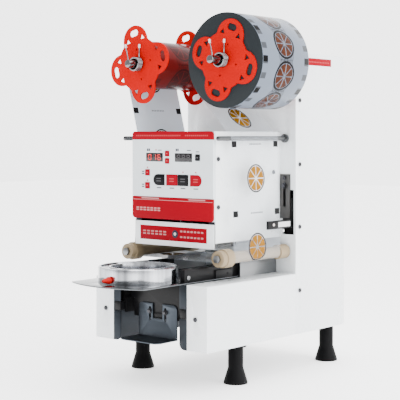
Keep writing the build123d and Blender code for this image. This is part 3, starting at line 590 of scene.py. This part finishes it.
# ---- Cabinet, arms and feet --------------------------------------------------------------------
class SEALER_OT_cabinet(bpy.types.Operator):
    """Finish the cabinet, its back with the mains inlet and the side label"""

    bl_idname = "sealer.cabinet"
    bl_label = "Cabinet"

    def execute(self, context):
        sizes = context.scene.sealer_sizes
        soften_each(
            ("cabinet_cover", "coat", sizes.edge),
            ("front_plate", "coat", sizes.fine_edge),
            ("back_plate", "coat", sizes.fine_edge),
            ("base_plate", "zinc", sizes.fine_edge),
            ("power_supply", "zinc", sizes.edge),
            ("takeup_motor", "black", sizes.edge),
            ("mains_inlet", "black_matt", sizes.fine_edge),
            ("rocker_switch", "black", sizes.fine_edge),
        )
        low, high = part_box("mains_inlet")
        middle = (low + high) / 2
        pins = []
        for index, (across, up) in enumerate(((-0.006, -0.0145), (0.006, -0.0145), (0.0, -0.0105))):
            corner = Vector((middle.x + across - 0.001, high.y - 0.0165, middle.z + up - 0.0025))
            pins.append(slab(f"inlet_pin_{index}", corner, corner + Vector((0.002, 0.011, 0.004)), 0.0003))
        dress(join(pins, "inlet_pins"), finish("brass"), "machine")
        self.side_label()
        return {"FINISHED"}

    def side_label(self):
        """Plain red strip with pale dashes high on the right side."""
        low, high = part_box("cabinet_cover")
        front, back = low.y + 0.012, low.y + 0.114
        bottom, top = high.z - 0.0215, high.z - 0.008
        side = high.x
        plate = slab("side_strip", (side, front, bottom), (side + 0.0003, back, top), 0.0001)
        dress(plate, finish("band"), "machine")
        dashes = []
        for index in range(16):
            start = back - 0.008 - index * 0.0052
            corner = (side + 0.0003, start - 0.0034, bottom + 0.0055)
            dashes.append(slab("side_dash", corner, (side + 0.0005, start, top - 0.0062), HAIR, 1))
        dress(join(dashes, "side_strip_marks"), finish("ink_rose"), "machine")


class SEALER_OT_base(bpy.types.Operator):
    """Finish the side arms, chassis plates, rails and feet"""

    bl_idname = "sealer.base"
    bl_label = "Arms, chassis and feet"

    def execute(self, context):
        sizes = context.scene.sealer_sizes
        soften_each(
            ("arm_covers", "coat", sizes.edge),
            ("chassis_plates", "chassis_dark", sizes.fine_edge),
            ("slide_rails", "black", sizes.fine_edge),
            ("feet", "rubber", sizes.fine_edge),
        )
        grooves = []
        for index, (low, high) in enumerate(islands("feet")):
            centre = Vector(((low.x + high.x) / 2, (low.y + high.y) / 2, 0))
            for step, height in enumerate((0.033, 0.060)):
                deselect_all()
                bpy.ops.mesh.primitive_torus_add(
                    major_radius=0.0125, minor_radius=0.0009, major_segments=48, minor_segments=8,
                    location=centre + Vector((0, 0, height)),
                )
                settle()
                bpy.ops.object.shade_smooth()
                bpy.context.object.name = f"foot_rib_{index}_{step}"
                grooves.append(bpy.context.object)
        dress(join(grooves, "foot_ribs"), finish("rubber"), "machine")
        return {"FINISHED"}


# ---- Head --------------------------------------------------------------------------------------
class SEALER_OT_head(bpy.types.Operator):
    """Finish the head's covers, bands and safety door"""

    bl_idname = "sealer.head"
    bl_label = "Head"

    def execute(self, context):
        sizes = context.scene.sealer_sizes
        soften_each(
            ("head_frame", "frame_dark", sizes.fine_edge),
            ("head_cover", "coat", sizes.edge),
            ("head_bezel", "bezel", sizes.fine_edge),
            ("head_cap", "band", sizes.edge),
            ("head_band", "band", sizes.edge),
            ("membrane", "membrane", 0.0001, 1),
            ("safety_door", "coat", sizes.fine_edge),
            ("control_board", "board", 0.0001, 1),
        )
        self.band_marks()
        self.door_label()
        return {"FINISHED"}

    def band_marks(self):
        """Pale dashes and lines on the band and faint dashes on the cap strip."""
        relief = bpy.context.scene.sealer_sizes.mark
        low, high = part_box("head_band")
        centre = (low.x + high.x) / 2
        marks = []
        for index in range(7):
            left = low.x + 0.0105 + index * 0.0086
            for lift in (0.0140, 0.0178):
                bottom = low.z + lift
                marks.append(mark("band_dash", left, left + 0.0064, bottom, bottom + 0.0026, low.y, relief))
        lines = [(start, end, 0.0036, 0.0012) for start, end in ((-0.072, -0.030), (0.040, 0.078))]
        lines.append((low.x - centre + 0.001, high.x - centre - 0.001, 0.0058, 0.0048))
        for start, end, bottom, top in lines:
            sides = (centre + start, centre + end)
            marks.append(mark("band_line", *sides, high.z - bottom, high.z - top, low.y, relief))
        dress(join(marks, "band_marks"), finish("ink_soft"), "machine")
        cap_low, cap_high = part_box("head_cap")
        middle = (cap_low.z + cap_high.z) / 2
        faint = []
        for index in range(38):
            if index not in (24, 25):
                left = cap_low.x + 0.010 + index * 0.0045
                heights = (middle - 0.0014, middle + 0.001)
                faint.append(mark("cap_dash", left, left + 0.003, *heights, cap_low.y, relief))
        dress(join(faint, "cap_marks"), finish("ink_rose"), "machine")

    def door_label(self):
        """Red plate on the door with pale dashes and a plain round badge."""
        low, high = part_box("safety_door")
        centre = (low.x + high.x) / 2
        face = low.y
        bottom, top = low.z + 0.0093, high.z - 0.0077
        plate = slab("door_plate", (centre - 0.080, face - 0.0004, bottom), (centre + 0.077, face, top), 0.0001)
        dress(plate, finish("band"), "safety_door")
        middle = (bottom + top) / 2
        marks = []
        blocks = (
            (6, -0.073, 0.0098, 0.0068, 0.0026, (-0.0034, 0.0014)),
            (7, 0.016, 0.0080, 0.0054, 0.0032, (-0.0062, 0.0038)),
        )
        for count, start, pitch, width, height, rows in blocks:
            for index in range(count):
                left = centre + start + index * pitch
                for row in rows:
                    base = middle + row
                    marks.append(mark("door_dash", left, left + width, base, base + height, face - 0.0004, 0.0002))
        dress(join(marks, "door_marks"), finish("ink_soft"), "safety_door")
        badges = (("door_badge", 0.0070, 0.0005, "ink_dark"), ("door_badge_centre", 0.0028, 0.0007, "ink_pale"))
        for name, radius, lift, material in badges:
            spot = drum(name, (centre + 0.004, face - lift, middle), radius, 0.0002, "Y", HAIR, 32)
            dress(spot, finish(material), "safety_door")


SEGMENTS = {
    "0": "abcdef", "1": "bc", "2": "abged", "3": "abgcd", "4": "fgbc",
    "5": "afgcd", "6": "afgedc", "7": "abc", "8": "abcdefg", "9": "abcdfg",
}


def digit_parts(name, corner, width, height, lit):
    """Seven bars of one digit, its lower left corner given; returns the lit and the unlit bars."""
    bar = width * 0.2
    half = height / 2
    spans = {
        "a": ((bar, height - bar), (width - bar, height)),
        "d": ((bar, 0), (width - bar, bar)),
        "g": ((bar, half - bar / 2), (width - bar, half + bar / 2)),
        "f": ((0, half + bar / 3), (bar, height - bar / 3)),
        "b": ((width - bar, half + bar / 3), (width, height - bar / 3)),
        "e": ((0, bar / 3), (bar, half - bar / 3)),
        "c": ((width - bar, bar / 3), (width, half - bar / 3)),
    }
    bright, dull = [], []
    for key, ((x0, z0), (x1, z1)) in spans.items():
        low = Vector(corner) + Vector((x0, -0.00015, z0))
        high = Vector(corner) + Vector((x1, 0, z1))
        piece = slab(f"{name}_{key}", low, high, HAIR, 1)
        (bright if key in lit else dull).append(piece)
    return bright, dull


class SEALER_OT_keypad(bpy.types.Operator):
    """Model the displays, their digits, the key caps' marks and the small lamps"""

    bl_idname = "sealer.keypad"
    bl_label = "Keypad"

    def execute(self, context):
        relief = context.scene.sealer_sizes.mark
        soften("displays", finish("display"), 0.0004)
        bright, dull = [], []
        for (low, high), text in zip(islands("displays"), ("016", None)):
            width, height = 0.0088, 0.0105
            for place in range(3):
                corner = (low.x + 0.0052 + place * 0.0113, low.y, (low.z + high.z - height) / 2)
                lit = SEGMENTS[text[place]] if text else ""
                shown, hidden = digit_parts(f"digit_{text}_{place}", corner, width - 0.001, height, lit)
                bright += shown
                dull += hidden
        dress(join(bright, "lit_digits"), finish("lit"), "machine")
        dress(join(dull, "unlit_digits"), finish("unlit"), "machine")
        dark_keys = ("key_auto", "key_manual", "key_reset")
        for key in KEYS:
            soften(key, finish("key_black" if key in dark_keys else "key_red"), 0.0004)
            low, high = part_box(key)
            middle = (low + high) / 2
            wide = (high.x - low.x) > 0.02
            reach = 0.0055 if wide else 0.0017
            rise = 0.0009 if wide else 0.0012
            bars = []
            for row in (-0.0022, 0.0022) if wide else (0.0,):
                span = (middle.x - reach, middle.x + reach, middle.z + row - rise, middle.z + row + rise)
                bars.append(mark(f"{key}_bar", *span, low.y, relief))
            look = "ink_grey" if key in dark_keys else "ink_rose"
            dress(join(bars, f"{key}_mark"), finish(look), BODY_OF[key])
        self.lamps(relief)
        self.captions(relief)
        return {"FINISHED"}

    def lamps(self, relief):
        """Small red lamps over the left keys, the wide keys and beside the displays."""
        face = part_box("membrane")[0].y
        lifts = {"key_mode": 0.0035, "key_feed": 0.0035, "key_manual": 0.0045, "key_start": 0.0045}
        spots = []
        for key, lift in lifts.items():
            low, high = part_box(key)
            spots.append(((low.x + high.x) / 2, high.z + lift))
        low, high = islands("displays")[0]
        spots.append(((low.x + high.x) / 2 + 0.004, high.z + 0.0055))
        lamps = []
        for index, (x, z) in enumerate(spots):
            lamps.append(drum(f"lamp_{index}", (x, face - relief * 2, z), 0.0013, relief * 4, "Y", 0.0001, 20))
        dress(join(lamps, "keypad_lamps"), finish("tip"), "machine")

    def captions(self, relief):
        """Short dark dashes where the panel is lettered."""
        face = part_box("membrane")[0].y
        marks = []

        def dash(x, z, width, height):
            span = (x - width / 2, x + width / 2, z - height / 2, z + height / 2)
            marks.append(mark(f"caption_{len(marks)}", *span, face, relief, 0.00004))

        for low, high in islands("displays"):
            middle = (low.x + high.x) / 2
            for offset in (-0.0165, -0.0125):
                dash(middle + offset, high.z + 0.0055, 0.0032, 0.0046)
            dash(middle + 0.013, high.z + 0.005, 0.009, 0.0014)
        for key in ("key_mode", "key_feed"):
            low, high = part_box(key)
            for row in (0.0016, -0.0022):
                dash(low.x - 0.0055, (low.z + high.z) / 2 + row, 0.006, 0.002)
        for key in ("key_auto", "key_power", "key_manual", "key_start"):
            low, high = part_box(key)
            dash((low.x + high.x) / 2, low.z - 0.0045, 0.011, 0.0017)
        low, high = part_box("key_reset")
        dash((low.x + high.x) / 2, high.z + 0.0045, 0.008, 0.0016)
        dress(join(marks, "panel_captions"), finish("ink_dark"), "machine")


# ---- Reels, rolls and film ---------------------------------------------------------------------
COIL_RADIUS = 0.0115
# Start and end of each clamp arm, to the right of the shaft's middle and above it.
CLAMP_ARMS = (((-0.0113, 0.002), (-0.0200, 0.036)), ((0.0030, 0.0112), (0.0034, 0.036)))


def spring_clamp(name, node, roll, body):
    """Wire spring round a reel shaft with two arms that end in pale tips."""
    sizes = bpy.context.scene.sealer_sizes
    low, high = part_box(node)
    shaft_low, shaft_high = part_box(roll)
    axis_x = (shaft_low.x + shaft_high.x) / 2
    axis_z = (shaft_low.z + shaft_high.z) / 2
    wire = sizes.wire
    run = (high.y - low.y) - 2 * wire
    deselect_all()
    bpy.ops.mesh.primitive_circle_add(
        vertices=12, radius=wire, fill_type="NOTHING", location=(COIL_RADIUS, 0, 0), rotation=TURN_TO["Y"]
    )
    spring = settle()
    spring.name = name
    steps = 28 * sizes.coils
    apply_modifier(
        spring, "SCREW", angle=2 * math.pi * sizes.coils, screw_offset=run, steps=steps, render_steps=steps,
        axis="Z", use_smooth_shade=True,
    )
    activate(spring)
    bpy.ops.object.mode_set(mode="EDIT")
    bpy.ops.mesh.select_all(action="SELECT")
    bpy.ops.mesh.remove_doubles(threshold=0.00001)
    bpy.ops.mesh.select_all(action="DESELECT")
    bpy.ops.mesh.select_non_manifold()
    bpy.ops.mesh.edge_face_add()
    bpy.ops.mesh.select_all(action="SELECT")
    bpy.ops.mesh.normals_make_consistent(inside=False)
    bpy.ops.object.mode_set(mode="OBJECT")
    turn = Matrix.Rotation(-math.pi / 2, 4, "X")
    spring.data.transform(Matrix.Translation((axis_x, low.y + wire, axis_z)) @ turn)
    ends = []
    tips = []
    for index, (start, end) in enumerate(CLAMP_ARMS):
        at = low.y + wire if index == 0 else high.y - wire
        first = Vector((axis_x + start[0], at, axis_z + start[1]))
        last = Vector((axis_x + end[0], at, axis_z + end[1]))
        way = last - first
        facing = Vector((0, 0, 1)).rotation_difference(way).to_matrix().to_4x4()
        arm = drum(f"{name}_arm_{index}", (0, 0, way.length / 2), wire * 0.75, way.length, "Z", 0.0003, 16)
        arm.data.transform(Matrix.Translation(first) @ facing)
        ends.append(arm)
        tip = drum(f"{name}_tip_{index}", (0, 0, way.length - 0.003), wire * 1.3, 0.007, "Z", 0.0008, 20)
        tip.data.transform(Matrix.Translation(first) @ facing)
        tips.append(tip)
    wires = dress(join([spring, *ends], name), finish("chrome"), body)
    dress(join(tips, f"{name}_tips"), finish("ink_pale"), body)
    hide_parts(node)


class SEALER_OT_reels(bpy.types.Operator):
    """Finish the reel discs, shafts, bearings and spring clamps"""

    bl_idname = "sealer.reels"
    bl_label = "Reels"

    def execute(self, context):
        sizes = context.scene.sealer_sizes
        soften_each(
            ("takeup_discs", "disc", sizes.edge),
            ("supply_discs", "disc", sizes.edge),
            ("takeup_shaft", "chrome", sizes.edge),
            ("supply_shaft", "chrome", sizes.edge),
            ("shaft_bearings", "zinc", sizes.edge),
        )
        spring_clamp("takeup_spring", "takeup_clamp", "takeup_roll", "takeup_reel")
        spring_clamp("supply_spring", "supply_clamp", "supply_roll", "supply_reel")
        return {"FINISHED"}


def roll_finish(name, node, pitch_count, marks_count, ink, tint, strength):
    """Printed film wound on a roll, its print worked out from the angle round the axis."""
    low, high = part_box(node)
    radius, half_width = (high.x - low.x) / 2, (high.y - low.y) / 2
    recipe = Recipe(name, tint, 0.22)
    recipe.set("Specular IOR Level", 0.06)
    x, across, z = recipe.parts(recipe.place(centre_of(node)))
    along = recipe.sum("MULTIPLY", recipe.sum("ARCTAN2", z, x), radius)
    around = 2 * math.pi * radius
    picture, _ = fruit_print(recipe, along, across, around / pitch_count, half_width, ink)
    smaller = {part: ink[part] * 0.8 for part in ("flesh", "pith", "rind")}
    faint = dict(ink, colour=ink["ghost"], **smaller)
    shifted = recipe.sum("ADD", along, around / pitch_count / 2)
    under, _ = fruit_print(recipe, shifted, across, around / marks_count, half_width, faint, 0.35)
    layered = recipe.add("ShaderNodeMix", data_type="RGBA", blend_type="MULTIPLY")
    layered.inputs[0].default_value = 0.85
    recipe.wire(picture, layered.inputs[6])
    recipe.wire(under, layered.inputs[7])
    haze = recipe.noise(recipe.place(stretch=(30, 4, 30)), 1.0, 3.0)
    tinted = recipe.blend(recipe.ranged(haze, strength * 0.7, strength), layered.outputs[2], tint)
    recipe.drive("Base Color", tinted)
    recipe.relief(haze, 0.15, 0.0004)
    return recipe.material


def end_finish(name, node, base):
    """Wound film seen from its end: dark with fine rings."""
    recipe = Recipe(name, base, 0.42)
    recipe.set("Specular IOR Level", 0.08)
    x, _, z = recipe.parts(recipe.place(centre_of(node)))
    rings = recipe.noise(recipe.vector(recipe.span(x, z)), 1400.0, 4.0)
    recipe.drive("Base Color", recipe.toned(rings, base, 0.6, 1.5))
    recipe.relief(rings, 0.3, 0.0003)
    return recipe.material


class SEALER_OT_rolls(bpy.types.Operator):
    """Finish the supply roll and the wound take-up roll"""

    bl_idname = "sealer.rolls"
    bl_label = "Film rolls"

    def execute(self, context):
        colours = context.scene.sealer_colours
        ink = {
            "colour": (0.13, 0.024, 0.0005), "line": (0.004, 0.003, 0.003), "ghost": (0.05, 0.05, 0.08),
            "film": (0.30, 0.33, 0.38), "flesh": 0.0225, "pith": 0.0235, "rind": 0.0275,
        }
        film = tuple(colours.film)
        supply = roll_finish("supply_roll_print", "supply_roll", 9, 20, ink, film, 0.0)
        supply_end = end_finish("supply_roll_end", "supply_roll", (0.014, 0.017, 0.019))
        red_ink = dict(ink, colour=(0.022, 0.005, 0.004), ghost=(0.05, 0.008, 0.007), film=(0.22, 0.012, 0.010))
        takeup = roll_finish("takeup_roll_print", "takeup_roll", 4, 9, red_ink, (0.20, 0.03, 0.03), 0.2)
        takeup_end = end_finish("takeup_roll_end", "takeup_roll", (0.08, 0.008, 0.008))
        for node, side, end in (("supply_roll", supply, supply_end), ("takeup_roll", takeup, takeup_end)):
            roll = soften(node, side, 0.0006)
            roll.data.materials.append(end)
            for face in roll.data.polygons:
                face.material_index = 1 if abs(face.normal.y) > 0.7 else 0
        return {"FINISHED"}


def tangent(first, first_radius, second, second_radius, first_turn, second_turn):
    """Ends of a line that touches two circles. A turn is 1 where the circle lies left of the line."""
    across = Vector(second) - Vector(first)
    heading = math.atan2(across[1], across[0])
    along = heading - math.asin((second_turn * second_radius - first_turn * first_radius) / across.length)
    normal = Vector((math.sin(along), -math.cos(along)))
    start = Vector(first) + normal * first_turn * first_radius
    return start, Vector(second) + normal * second_turn * second_radius


def film_route():
    """Points of the film's middle line, seen from the front."""

    def middle_of(low, high):
        return (low.x + high.x) / 2, (low.z + high.z) / 2

    web = islands("film_web")[0]
    rods = islands("guide_rods")
    gap = 0.00055
    nodes = ("supply_roll", "takeup_roll", "roller_right", "roller_left")
    supply, takeup, right, left = (middle_of(*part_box(node)) for node in nodes)
    supply_size = (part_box("supply_roll")[1].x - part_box("supply_roll")[0].x) / 2
    takeup_size = (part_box("takeup_roll")[1].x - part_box("takeup_roll")[0].x) / 2
    left_rod, right_rod = (middle_of(*pair) for pair in rods)
    roller_size = right[1] - web[0].z - 0.00025
    rod_size = 0.004 + gap
    circles = [
        (supply, supply_size + gap, 1),
        (right_rod, rod_size, -1),
        (right, roller_size, -1),
        (left, roller_size, -1),
        (left_rod, rod_size, 1),
        (takeup, takeup_size + gap, -1),
    ]
    lines = [tangent(one[0], one[1], two[0], two[1], one[2], two[2]) for one, two in zip(circles, circles[1:])]
    points = []
    for index, (start, end) in enumerate(lines):
        points += [start.lerp(end, step / 16) for step in range(17)]
        if index < len(lines) - 1:
            centre = Vector(circles[index + 1][0])
            spoke = end - centre
            sweep = spoke.angle_signed(lines[index + 1][0] - centre)
            for step in range(1, 10):
                spot = spoke.copy()
                spot.rotate(Matrix.Rotation(-sweep * step / 10, 2))
                points.append(centre + spot)
    return points


# Places in the route's list of points: where the run down the right side starts, the run between the
# rollers, and the left rod.
RIGHT_RUN = 26
BOTTOM_RUN = (52, 68)
LEFT_ROD = 103
# Film thickness, its opacity on the clear right run, and its higher opacity on the left run, which is painted
# shade.
FILM_THICKNESS, FILM_CLEAR, FILM_SHADED_ALPHA = 0.0003, 0.10, 0.80
# Where the print starts on the right run, and where a mark lies past the left rod.
FIRST_MARK, MARK_PAST_ROD = 0.0100, 0.0525


class SEALER_OT_film(bpy.types.Operator):
    """Model the printed film web along its route"""

    bl_idname = "sealer.film"
    bl_label = "Film web"

    def execute(self, context):
        sizes = context.scene.sealer_sizes
        colours = context.scene.sealer_colours
        low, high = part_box("film_web")
        route = film_route()
        travelled = [0.0]
        for before, after in zip(route, route[1:]):
            travelled.append(travelled[-1] + (after - before).length)
        if travelled[-1] <= 0:
            raise RuntimeError("the film has no length")
        first_mark = travelled[RIGHT_RUN] + FIRST_MARK
        off_step = (travelled[LEFT_ROD] + MARK_PAST_ROD - first_mark) % sizes.print_pitch
        ease = sizes.print_pitch - off_step if off_step > sizes.print_pitch / 2 else -off_step
        printed = []
        for index, reach in enumerate(travelled):
            share = min(1.0, max(0.0, (index - BOTTOM_RUN[0]) / (BOTTOM_RUN[1] - BOTTOM_RUN[0])))
            printed.append(reach + ease * share)
        deselect_all()
        bpy.ops.mesh.primitive_grid_add(x_subdivisions=4, y_subdivisions=len(route) - 1, size=1)
        web = bpy.context.object
        web.name = "printed_film"
        rows = sorted({round(vertex.co.y, 5) for vertex in web.data.vertices})
        row_of = {value: index for index, value in enumerate(rows)}
        place_of = {}
        for vertex in web.data.vertices:
            row = row_of[round(vertex.co.y, 5)]
            across = low.y + (vertex.co.x + 0.5) * (high.y - low.y)
            place_of[vertex.index] = (printed[row], across - (low.y + high.y) / 2)
            vertex.co = Vector((route[row].x, across, route[row].y))
        layer = web.data.uv_layers.active
        for loop in web.data.loops:
            layer.data[loop.index].uv = place_of[loop.vertex_index]
        apply_modifier(web, "SOLIDIFY", thickness=FILM_THICKNESS, offset=0.0)
        activate(web)
        bpy.ops.object.shade_smooth_by_angle(angle=SMOOTH_ANGLE)
        recipe = Recipe("film_print", tuple(colours.film), 0.16)
        recipe.set("Specular IOR Level", 0.08)
        distance, side, _ = recipe.parts(recipe.add("ShaderNodeUVMap").outputs[0])
        ink = {
            "colour": tuple(colours.fruit), "line": (0.012, 0.008, 0.006),
            "flesh": 0.0215, "pith": 0.0225, "rind": 0.0250,
        }
        along = recipe.sum("SUBTRACT", distance, first_mark)
        half_width = (high.y - low.y) / 2
        picture, (marks, rind, segments) = fruit_print(recipe, along, side, sizes.print_pitch, half_width, ink)
        inked = recipe.sum("MAXIMUM", marks, recipe.sum("MAXIMUM", rind, segments))
        start, stop = (printed[place] for place in BOTTOM_RUN)
        # Painted shade: past the run between the rollers the film turns more opaque, so its left run reads darker.
        painted_shade_alpha = recipe.ranged(distance, FILM_CLEAR, FILM_SHADED_ALPHA, start, stop)
        recipe.drive("Alpha", recipe.sum("MAXIMUM", painted_shade_alpha, inked))
        recipe.drive("Base Color", picture)
        ripple = recipe.noise(recipe.place(stretch=(1, 6, 1)), 12.0, 2.0)
        recipe.relief(ripple, 0.12, 0.002)
        dress(web, recipe.material, "machine")
        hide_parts("film_web")
        return {"FINISHED"}


class SEALER_OT_guides(bpy.types.Operator):
    """Finish the upper guide rods, roller axles and rollers"""

    bl_idname = "sealer.guides"
    bl_label = "Rods and rollers"

    def execute(self, context):
        sizes = context.scene.sealer_sizes
        soften_each(
            ("guide_rods", "rod", sizes.fine_edge),
            ("roller_axles", "zinc", sizes.fine_edge),
            ("roller_left", "roller", sizes.edge),
            ("roller_right", "roller", sizes.edge),
        )
        return {"FINISHED"}


# ---- Tray, press and sensor --------------------------------------------------------------------
class SEALER_OT_tray(bpy.types.Operator):
    """Finish the tray with its ring, knob, runners and slotted cup rest"""

    bl_idname = "sealer.tray"
    bl_label = "Tray"

    def execute(self, context):
        sizes = context.scene.sealer_sizes
        soften_each(
            ("tray_plate", "sheet", sizes.fine_edge),
            ("tray_arms", "black", sizes.edge),
            ("cup_ring", "ring", sizes.fine_edge, 3),
            ("runners", "black_matt", sizes.fine_edge),
            ("tray_hanger", "black", sizes.fine_edge),
            ("rest_screws", "screw", sizes.fine_edge),
            ("cup_rest", "chassis", sizes.fine_edge),
            ("ring_knob", "tip", 0.0015, 3),
        )
        self.tray_screws()
        return {"FINISHED"}

    def tray_screws(self):
        """Screws that hold the ring from below and the arms to the plate."""
        master = cross_screw("tray_screw_master", 0.0042, 0.0026)
        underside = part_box("tray_plate")[0].z
        ring_low, ring_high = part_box("cup_ring")
        centre = (ring_low + ring_high) / 2
        fitted = []
        sockets = []
        ring_radius = (ring_high.x - ring_low.x) / 2 - 0.010
        for index, angle in enumerate((-110, -70, 20, 160)):
            turn = math.radians(angle)
            seat = (centre.x + ring_radius * math.cos(turn), centre.y + ring_radius * math.sin(turn), underside)
            fitted.append(fit_screw(master, f"ring_screw_{index}", seat, (0, 0, -1)))
        for low, high in islands("tray_arms"):
            right = low.x > centre.x
            face = high.x if right else low.x
            out = (1, 0, 0) if right else (-1, 0, 0)
            inner = face - out[0] * 0.004
            seat = (inner, low.y + 0.0085, low.z + 0.008)
            fitted.append(fit_screw(master, f"arm_screw_{right}", seat, out))
            middle = (face, low.y + 0.110, low.z + 0.0075)
            sockets.append(drum("arm_socket", middle, 0.0024, 0.0003, "X", 0.0001, 24))
        bpy.data.objects.remove(master)
        dress(join(fitted, "tray_screws"), finish("chrome"), "tray")
        dress(join(sockets, "tray_sockets"), finish("rubber"), "tray")


class SEALER_OT_press(bpy.types.Operator):
    """Finish the press with its die, rods, bridge and actuator"""

    bl_idname = "sealer.press"
    bl_label = "Press"

    def execute(self, context):
        sizes = context.scene.sealer_sizes
        soften_each(
            ("press_plate", "aluminium", sizes.fine_edge),
            ("sealing_die", "aluminium", sizes.fine_edge),
            ("press_rods", "chrome", sizes.fine_edge),
            ("press_bridge", "zinc", sizes.fine_edge),
            ("press_actuator", "black", sizes.edge),
        )
        return {"FINISHED"}


class SEALER_OT_sensor(bpy.types.Operator):
    """Finish the film sensor, its slotted plate, label and lamp"""

    bl_idname = "sealer.sensor"
    bl_label = "Film sensor"

    def execute(self, context):
        edge = context.scene.sealer_sizes.fine_edge
        soften_each(("sensor_plate", "plate", edge), ("film_sensor", "black", edge))
        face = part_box("front_plate")[0].y
        plate_low, plate_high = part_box("sensor_plate")
        corner = Vector((plate_low.x + 0.003, face + 0.0068, plate_low.z - 0.031))
        far = (plate_high.x + 0.010, face + 0.008, plate_high.z - 0.004)
        backing = slab("sensor_backing", corner, far, 0.0003)
        dress(backing, finish("black_matt"), "machine")
        low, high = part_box("film_sensor")
        at = (plate_low.x + 0.0102, face - 0.0052, high.z - 0.005)
        nut = drum("sensor_nut", at, 0.0046, 0.0032, "Y", 0.0006, 6)
        washer = drum("sensor_washer", (at[0], face - 0.0031, at[2]), 0.0058, 0.0012, "Y", 0.0003, 32)
        dress(join([nut, washer], "sensor_clamp"), finish("screw"), "film_sensor")
        corners = ((high.x, low.y + 0.030, low.z + 0.003), (high.x + 0.0003, low.y + 0.066, low.z + 0.012))
        label = slab("sensor_label", *corners, 0.0001)
        dress(label, finish("sensor"), "film_sensor")
        lamp = drum("sensor_lamp", (high.x + 0.0005, low.y + 0.016, low.z + 0.008), 0.0026, 0.001, "X", 0.0003, 24)
        dress(lamp, finish("ink_pale"), "film_sensor")
        return {"FINISHED"}


# ---- Stage -------------------------------------------------------------------------------------
def area_light(name, place, aim, size, power):
    """Soft square light that faces a point."""
    light = bpy.data.lights.new(name, "AREA")
    light.shape = "RECTANGLE"
    light.size, light.size_y = size
    light.energy = power
    lamp = bpy.data.objects.new(name, light)
    lamp.location = place
    lamp.rotation_euler = (Vector(aim) - Vector(place)).to_track_quat("-Z", "Y").to_euler()
    bpy.context.scene.collection.objects.link(lamp)


# The camera's place, to the right of the cabinet's middle, in front of its face and above the floor.
CAMERA_RIGHT, CAMERA_BACK, CAMERA_HEIGHT = 1.3736, 1.7299, 0.4287
CAMERA_LENS, CAMERA_SHIFT, CAMERA_TURN = 105.06, -0.1613, math.radians(40.4)


class SEALER_OT_stage(bpy.types.Operator):
    """Set the floor, the soft lights and the camera"""

    bl_idname = "sealer.stage"
    bl_label = "Stage"

    def sky(self):
        """White surround, brighter behind and to the right of the machine."""
        world = bpy.data.worlds.new("studio_world")
        world.use_nodes = True
        nodes, links = world.node_tree.nodes, world.node_tree.links
        place = nodes.new("ShaderNodeTexCoord")
        toward = nodes.new("ShaderNodeVectorMath")
        toward.operation = "DOT_PRODUCT"
        toward.inputs[1].default_value = (0.25, 0.92, 0.3)
        links.new(place.outputs["Generated"], toward.inputs[0])
        level = nodes.new("ShaderNodeMapRange")
        level.inputs["From Min"].default_value = -0.7
        level.inputs["From Max"].default_value = 0.45
        level.inputs["To Min"].default_value = 1.0
        level.inputs["To Max"].default_value = 4.0
        links.new(toward.outputs["Value"], level.inputs["Value"])
        links.new(level.outputs[0], nodes["Background"].inputs["Strength"])
        nodes["Background"].inputs["Color"].default_value = (1.0, 1.0, 1.0, 1.0)
        return world

    def execute(self, context):
        scene = context.scene
        deselect_all()
        bpy.ops.mesh.primitive_plane_add(size=14)
        floor = bpy.context.object
        floor.name = "studio_floor"
        white = Recipe("studio_white", (0.93, 0.93, 0.93), 0.7)
        white.set("Emission Color", (1.0, 1.0, 1.0, 1.0))
        white.set("Emission Strength", 1.3)
        floor.data.materials.append(white.material)
        scene.world = self.sky()
        aim = (0.0, 0.0, 0.3)
        area_light("key_softbox", (2.1, 0.0, 1.5), aim, (1.4, 1.4), 40)
        area_light("top_softbox", (0.2, 0.1, 2.4), aim, (1.6, 1.6), 25)
        camera = bpy.data.cameras.new("view_camera")
        camera.lens = CAMERA_LENS
        camera.sensor_width = 36.0
        camera.shift_y = CAMERA_SHIFT
        camera.clip_end = 50.0
        viewer = bpy.data.objects.new("view_camera", camera)
        cover_low, cover_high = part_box("cabinet_cover")
        centre_x = (cover_low.x + cover_high.x) / 2
        viewer.location = (centre_x + CAMERA_RIGHT, cover_low.y - CAMERA_BACK, CAMERA_HEIGHT)
        viewer.rotation_euler = (math.pi / 2, 0, CAMERA_TURN)
        scene.collection.objects.link(viewer)
        scene.camera = viewer
        return {"FINISHED"}


# ---- Panel and registration --------------------------------------------------------------------
STEPS = (
    SEALER_OT_stage,
    SEALER_OT_cabinet,
    SEALER_OT_base,
    SEALER_OT_head,
    SEALER_OT_keypad,
    SEALER_OT_reels,
    SEALER_OT_rolls,
    SEALER_OT_film,
    SEALER_OT_guides,
    SEALER_OT_tray,
    SEALER_OT_press,
    SEALER_OT_sensor,
    SEALER_OT_fasteners,
)


class SEALER_PT_panel(bpy.types.Panel):
    """Lists the machine's pieces and settings"""

    bl_idname = "SEALER_PT_panel"
    bl_label = "Cup Sealer"
    bl_space_type = "VIEW_3D"
    bl_region_type = "UI"
    bl_category = "Cup Sealer"

    def draw(self, context):
        layout = self.layout
        for settings in (context.scene.sealer_colours, context.scene.sealer_sizes):
            box = layout.box()
            for key in settings.bl_rna.properties.keys():
                if key not in ("rna_type", "name"):
                    box.prop(settings, key)
        for step in STEPS:
            layout.operator(step.bl_idname)


CLASSES = (SealerColours, SealerSizes, *STEPS, SEALER_PT_panel)


def register():
    for item in CLASSES:
        bpy.utils.register_class(item)
    bpy.types.Scene.sealer_colours = bpy.props.PointerProperty(type=SealerColours)
    bpy.types.Scene.sealer_sizes = bpy.props.PointerProperty(type=SealerSizes)


def unregister():
    del bpy.types.Scene.sealer_sizes
    del bpy.types.Scene.sealer_colours
    for item in reversed(CLASSES):
        bpy.utils.unregister_class(item)


def main():
    register()
    make_finishes()
    for step in STEPS:
        group, action = step.bl_idname.split(".")
        getattr(getattr(bpy.ops, group), action)()


if __name__ == "__main__":
    main()
